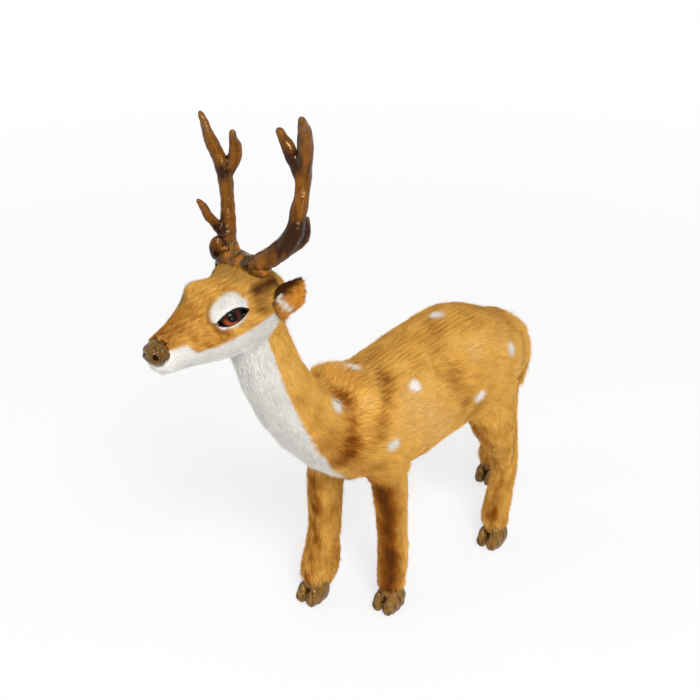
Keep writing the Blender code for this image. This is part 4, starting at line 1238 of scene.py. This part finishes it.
def dome_mesh(placed):
    """Flat places of a dome's front, with the corners and triangles of the whole dome."""
    edge = almond(LID_STEPS, LID_LENGTH - LID_CORNERS + DOME_UNDER_LIDS,
                  LID_HEIGHT - 2 * LID_WIDTH + DOME_UNDER_LIDS)
    shares = np.linspace(0.0, 1.0, EYE_RINGS + 1)[1:]
    flat = np.concatenate([np.zeros((1, 2))] + [edge * share for share in shares])
    reach = np.linalg.norm(flat, axis=1)
    dome = np.sqrt(np.maximum(DOME_RADIUS ** 2 - reach ** 2, 0.0)) - DOME_RADIUS + DOME_RISE
    back = placed(edge, np.full(LID_STEPS, DOME_BACK))
    corners = np.concatenate((placed(flat, dome), back, placed(np.zeros((1, 2)), np.array((DOME_BACK,)))))
    first = 1 + np.arange(LID_STEPS)
    fan = np.stack((np.zeros(LID_STEPS, int), first, np.roll(first, -1)), axis=1)
    wall = ring_faces(EYE_RINGS + 1, LID_STEPS)[:, ::-1] + 1
    last = first + EYE_RINGS * LID_STEPS
    close = np.stack((np.full(LID_STEPS, len(corners) - 1), np.roll(last, -1), last), axis=1)
    return flat, corners, np.concatenate((fan, wall, close))


def eye_colours(flat, iris, lid):
    """Colours of the painted eye: a dark pupil in an iris that is lit from below, with a dark edge."""
    offset = flat - EYE_MIDDLE
    away = np.linalg.norm(offset, axis=1)
    lit = ramp(offset @ IRIS_LIT / np.maximum(away, 0.1), 0.3, 0.95)
    rays = 0.12 * np.sin(IRIS_RAYS * np.arctan2(offset[:, 1], offset[:, 0]))
    colour = mix(np.tile(iris * IRIS_DARK, (len(flat), 1)), iris, np.clip(lit * (1 + rays), 0, 1))
    colour = mix(colour, lid, 1.0 - ramp(away, PUPIL_RADIUS - 0.4, PUPIL_RADIUS + 0.3))
    return mix(colour, lid, ramp(away, IRIS_RADIUS - 0.8, IRIS_RADIUS))


def build_eyes(trim):
    """Painted domes inside black almond lids."""
    lid_plastic, acrylic = lid_material(), lens_material()
    lid, iris = np.array(trim.lid), np.array(trim.iris)
    for side in SIDES:
        placed, right_handed = eye_placer(side)
        corners, faces = lid_mesh(placed)
        faces = faces[:, ::-1] if right_handed else faces
        make_piece("eye_lids_" + side, corners, faces, np.tile(lid, (len(corners), 1)), lid_plastic,
                   ("eye_rim_" + side,))
        flat, corners, faces = dome_mesh(placed)
        faces = faces if right_handed else faces[:, ::-1]
        behind = np.tile(lid, (len(corners) - len(flat), 1))
        colours = np.concatenate((eye_colours(flat, iris, lid), behind))
        make_piece("eye_dome_" + side, corners, faces, colours, acrylic,
                   ("eye_lens_" + side,))


def finish_inner_frame():
    """Finishes on the hidden cores, wires and iris discs, which stay as they are."""
    # Moulded foam is dull and finely porous, drawn wire bright with faint marks, and the iris discs are satin
    # with brush marks. Pores and marks are drawn coarse enough to show.
    foam = inner_material("Rigid foam core", {"Roughness": 0.9}, "#E4DCC6", size=1.2, shades=(0.85, 1.1))
    metal = {"Roughness": 0.35, "Metallic": 1.0}
    steel = inner_material("Bright steel wire", metal, "#A9ABAD", size=0.8, shades=(0.8, 1.1))
    paint = inner_material("Iris paint", {"Roughness": 0.4}, "#8A3A10", size=0.6, shades=(0.6, 1.3))
    for name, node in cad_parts.items():
        for word, material in (("_core", foam), ("_wire", steel), ("eye_iris", paint)):
            if word in name:
                node.data.materials.clear()
                node.data.materials.append(material)


# Stage

# Camera: its place from the animal's zero in metres, its directions right, up and back, and its sensor
CAMERA_PLACE = (0.45613, -0.61429, 0.52995)
CAMERA_RIGHT = (0.76604, 0.64279, 0.0)
CAMERA_UP = (-0.29182, 0.34778, 0.89101)
CAMERA_BACK = (0.57273, -0.68255, 0.45399)
SENSOR_WIDTH = 36.0
# Lamps: place and size of each in metres, and the place they face
LAMPS = {"key": ((1.5, -1.2, 1.9), 0.8), "fill": ((-1.4, -1.6, 1.3), 1.8), "glint": ((2.0, -1.0, 0.6), 0.35)}
AIM = (0.0, 0.0, 0.15)
# The floor fades to plain white between these distances in metres from its middle, and has so many segments
FADE_FROM = 0.25
FADE_TO = 1.1
FLOOR_SEGMENTS = 128
WHITE_LIGHT = (1.0, 1.0, 1.0, 1.0)


def seen_ray(tree):
    """A value that is 1 for what the camera sees, also by way of gloss or glass, and 0 for other light."""
    ray = add_node(tree, "ShaderNodeLightPath").outputs
    seen = add_node(tree, "ShaderNodeMath", {0: ray["Is Camera Ray"], 1: ray["Is Glossy Ray"]},
                    operation="MAXIMUM")
    seen = add_node(tree, "ShaderNodeMath", {0: seen.outputs["Value"], 1: ray["Is Transmission Ray"]},
                    operation="MAXIMUM")
    return seen.outputs["Value"]


def paper_material(stage):
    """Matt studio paper: pale with a faint grain, and fading to plain white away from the figure."""
    # Its fibres are too fine to show, so the grain is drawn at 3 mm.
    paper, tree, shader = new_material("Pale studio paper", {"Roughness": 0.9, "Specular IOR Level": 0.1})
    place = shade_grains(tree, tuple(stage.floor), 3.0, 2.0, {"To Min": 0.985, "To Max": 1.0})
    glow = add_node(tree, "ShaderNodeEmission", {"Color": WHITE_LIGHT, "Strength": 1.0})
    away = add_node(tree, "ShaderNodeVectorMath", {0: place}, operation="LENGTH")
    levels = {"From Min": FADE_FROM, "From Max": FADE_TO, "To Min": stage.floor_white, "To Max": 1.0}
    fade = add_node(tree, "ShaderNodeMapRange", {"Value": away.outputs["Value"], **levels},
                    interpolation_type="SMOOTHSTEP")
    share = add_node(tree, "ShaderNodeMath", {0: seen_ray(tree), 1: fade.outputs["Result"]},
                     operation="MULTIPLY")
    both = add_node(tree, "ShaderNodeMixShader", {0: share.outputs["Value"], 1: shader.outputs["BSDF"],
                                                  2: glow.outputs["Emission"]})
    tree.links.new(both.outputs["Shader"], tree.nodes["Material Output"].inputs["Surface"])
    return paper


def lay_floor(stage):
    """A round pale floor, which keeps the figure's shadow."""
    outline = bmesh.new()
    bmesh.ops.create_circle(outline, cap_ends=True, segments=FLOOR_SEGMENTS, radius=stage.floor_radius)
    mesh = bpy.data.meshes.new("floor")
    outline.to_mesh(mesh)
    outline.free()
    mesh.materials.append(paper_material(stage))
    floor = bpy.data.objects.new("floor", mesh)
    bpy.context.scene.collection.objects.link(floor)


def hang_lamps(stage):
    """Soft key and fill lamps, and a small low one that the varnish mirrors."""
    for name, (place, size) in LAMPS.items():
        lamp = bpy.data.lights.new(name, "AREA")
        lamp.shape = "DISK"
        lamp.size = size
        lamp.energy = getattr(stage, name + "_power")
        holder = bpy.data.objects.new(name, lamp)
        holder.location = place
        holder.rotation_euler = (Vector(place) - Vector(AIM)).to_track_quat("Z", "Y").to_euler()
        bpy.context.scene.collection.objects.link(holder)


def light_surroundings(stage):
    """Even light from all round, in which the camera sees plain white."""
    world = bpy.data.worlds.new("studio")
    bpy.context.scene.world = world
    world.use_nodes = True
    tree = world.node_tree
    tree.nodes.clear()
    light = add_node(tree, "ShaderNodeBackground", {"Color": WHITE_LIGHT, "Strength": stage.sky})
    white = add_node(tree, "ShaderNodeBackground", {"Color": WHITE_LIGHT, "Strength": 1.0})
    both = add_node(tree, "ShaderNodeMixShader", {0: seen_ray(tree), 1: light.outputs["Background"],
                                                  2: white.outputs["Background"]})
    add_node(tree, "ShaderNodeOutputWorld", {"Surface": both.outputs["Shader"]})


def place_camera(stage):
    """The camera at the photograph's viewing angle."""
    lens = bpy.data.cameras.new("camera")
    lens.lens = stage.focal_length
    lens.sensor_width = SENSOR_WIDTH
    camera = bpy.data.objects.new("camera", lens)
    axes = Matrix((CAMERA_RIGHT, CAMERA_UP, CAMERA_BACK)).transposed().to_4x4()
    camera.matrix_world = Matrix.Translation(Vector(CAMERA_PLACE) + Vector(ZERO) * MM) @ axes
    bpy.context.scene.collection.objects.link(camera)
    bpy.context.scene.camera = camera


def build_stage(stage):
    """Floor, soft light, white background and camera."""
    bpy.context.scene.view_settings.view_transform = "Standard"
    lay_floor(stage)
    hang_lamps(stage)
    light_surroundings(stage)
    place_camera(stage)


# Operators


class STAG_OT_coat(bpy.types.Operator):
    """Build the fur panels of body, neck, head and legs with their hair"""

    bl_idname = "stag.coat"
    bl_label = "Coat"

    def execute(self, context):
        build_coat(context.scene.stag_coat)
        return {"FINISHED"}


class STAG_OT_tail(bpy.types.Operator):
    """Build the tail with its hair"""

    bl_idname = "stag.tail"
    bl_label = "Tail"

    def execute(self, context):
        build_tail(context.scene.stag_coat)
        return {"FINISHED"}


class STAG_OT_ears(bpy.types.Operator):
    """Build the two ears with their hair"""

    bl_idname = "stag.ears"
    bl_label = "Ears"

    def execute(self, context):
        build_ears(context.scene.stag_coat)
        return {"FINISHED"}


class STAG_OT_eyes(bpy.types.Operator):
    """Build the painted domes and the lids of both eyes"""

    bl_idname = "stag.eyes"
    bl_label = "Eyes"

    def execute(self, context):
        build_eyes(context.scene.stag_trim)
        return {"FINISHED"}


class STAG_OT_nose(bpy.types.Operator):
    """Build the moulded nose"""

    bl_idname = "stag.nose"
    bl_label = "Nose"

    def execute(self, context):
        build_nose(context.scene.stag_trim)
        return {"FINISHED"}


class STAG_OT_antlers(bpy.types.Operator):
    """Build both antlers and the saddle that carries them"""

    bl_idname = "stag.antlers"
    bl_label = "Antlers"

    def execute(self, context):
        build_antlers(context.scene.stag_trim)
        return {"FINISHED"}


class STAG_OT_hooves(bpy.types.Operator):
    """Build the four cloven hooves"""

    bl_idname = "stag.hooves"
    bl_label = "Hooves"

    def execute(self, context):
        build_hooves(context.scene.stag_trim)
        return {"FINISHED"}


class STAG_OT_inner_frame(bpy.types.Operator):
    """Give the hidden cores, wires and iris discs their finishes"""

    bl_idname = "stag.inner_frame"
    bl_label = "Inner frame"

    def execute(self, context):
        finish_inner_frame()
        return {"FINISHED"}


class STAG_OT_stage(bpy.types.Operator):
    """Set up floor, light, background and camera"""

    bl_idname = "stag.stage"
    bl_label = "Stage"

    def execute(self, context):
        build_stage(context.scene.stag_stage)
        return {"FINISHED"}


GROUPS = {"stag_coat": StagCoat, "stag_trim": StagTrim, "stag_stage": StagStage}
OPERATORS = (STAG_OT_coat, STAG_OT_tail, STAG_OT_ears, STAG_OT_eyes, STAG_OT_nose, STAG_OT_antlers,
             STAG_OT_hooves, STAG_OT_inner_frame, STAG_OT_stage)


class STAG_PT_panel(bpy.types.Panel):
    """Settings and steps of the stag"""

    bl_idname = "STAG_PT_panel"
    bl_label = "Fur stag"
    bl_space_type = "VIEW_3D"
    bl_region_type = "UI"
    bl_category = "Stag"

    def draw(self, context):
        for holder, group in GROUPS.items():
            box = self.layout.box()
            for key in group.__annotations__:
                box.prop(getattr(context.scene, holder), key)
        for operator in OPERATORS:
            self.layout.operator(operator.bl_idname)


CLASSES = (*GROUPS.values(), *OPERATORS, STAG_PT_panel)


def register():
    """Register the classes and hang the settings on the scene."""
    for each in CLASSES:
        bpy.utils.register_class(each)
    for holder, group in GROUPS.items():
        setattr(bpy.types.Scene, holder, PointerProperty(type=group))


def unregister():
    """Take the settings off the scene and unregister the classes."""
    for holder in GROUPS:
        delattr(bpy.types.Scene, holder)
    for each in reversed(CLASSES):
        bpy.utils.unregister_class(each)


def main():
    """Build the stag step by step."""
    register()
    for operator in OPERATORS:
        area, step = operator.bl_idname.split(".")
        getattr(getattr(bpy.ops, area), step)()
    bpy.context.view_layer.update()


if __name__ == "__main__":
    main()
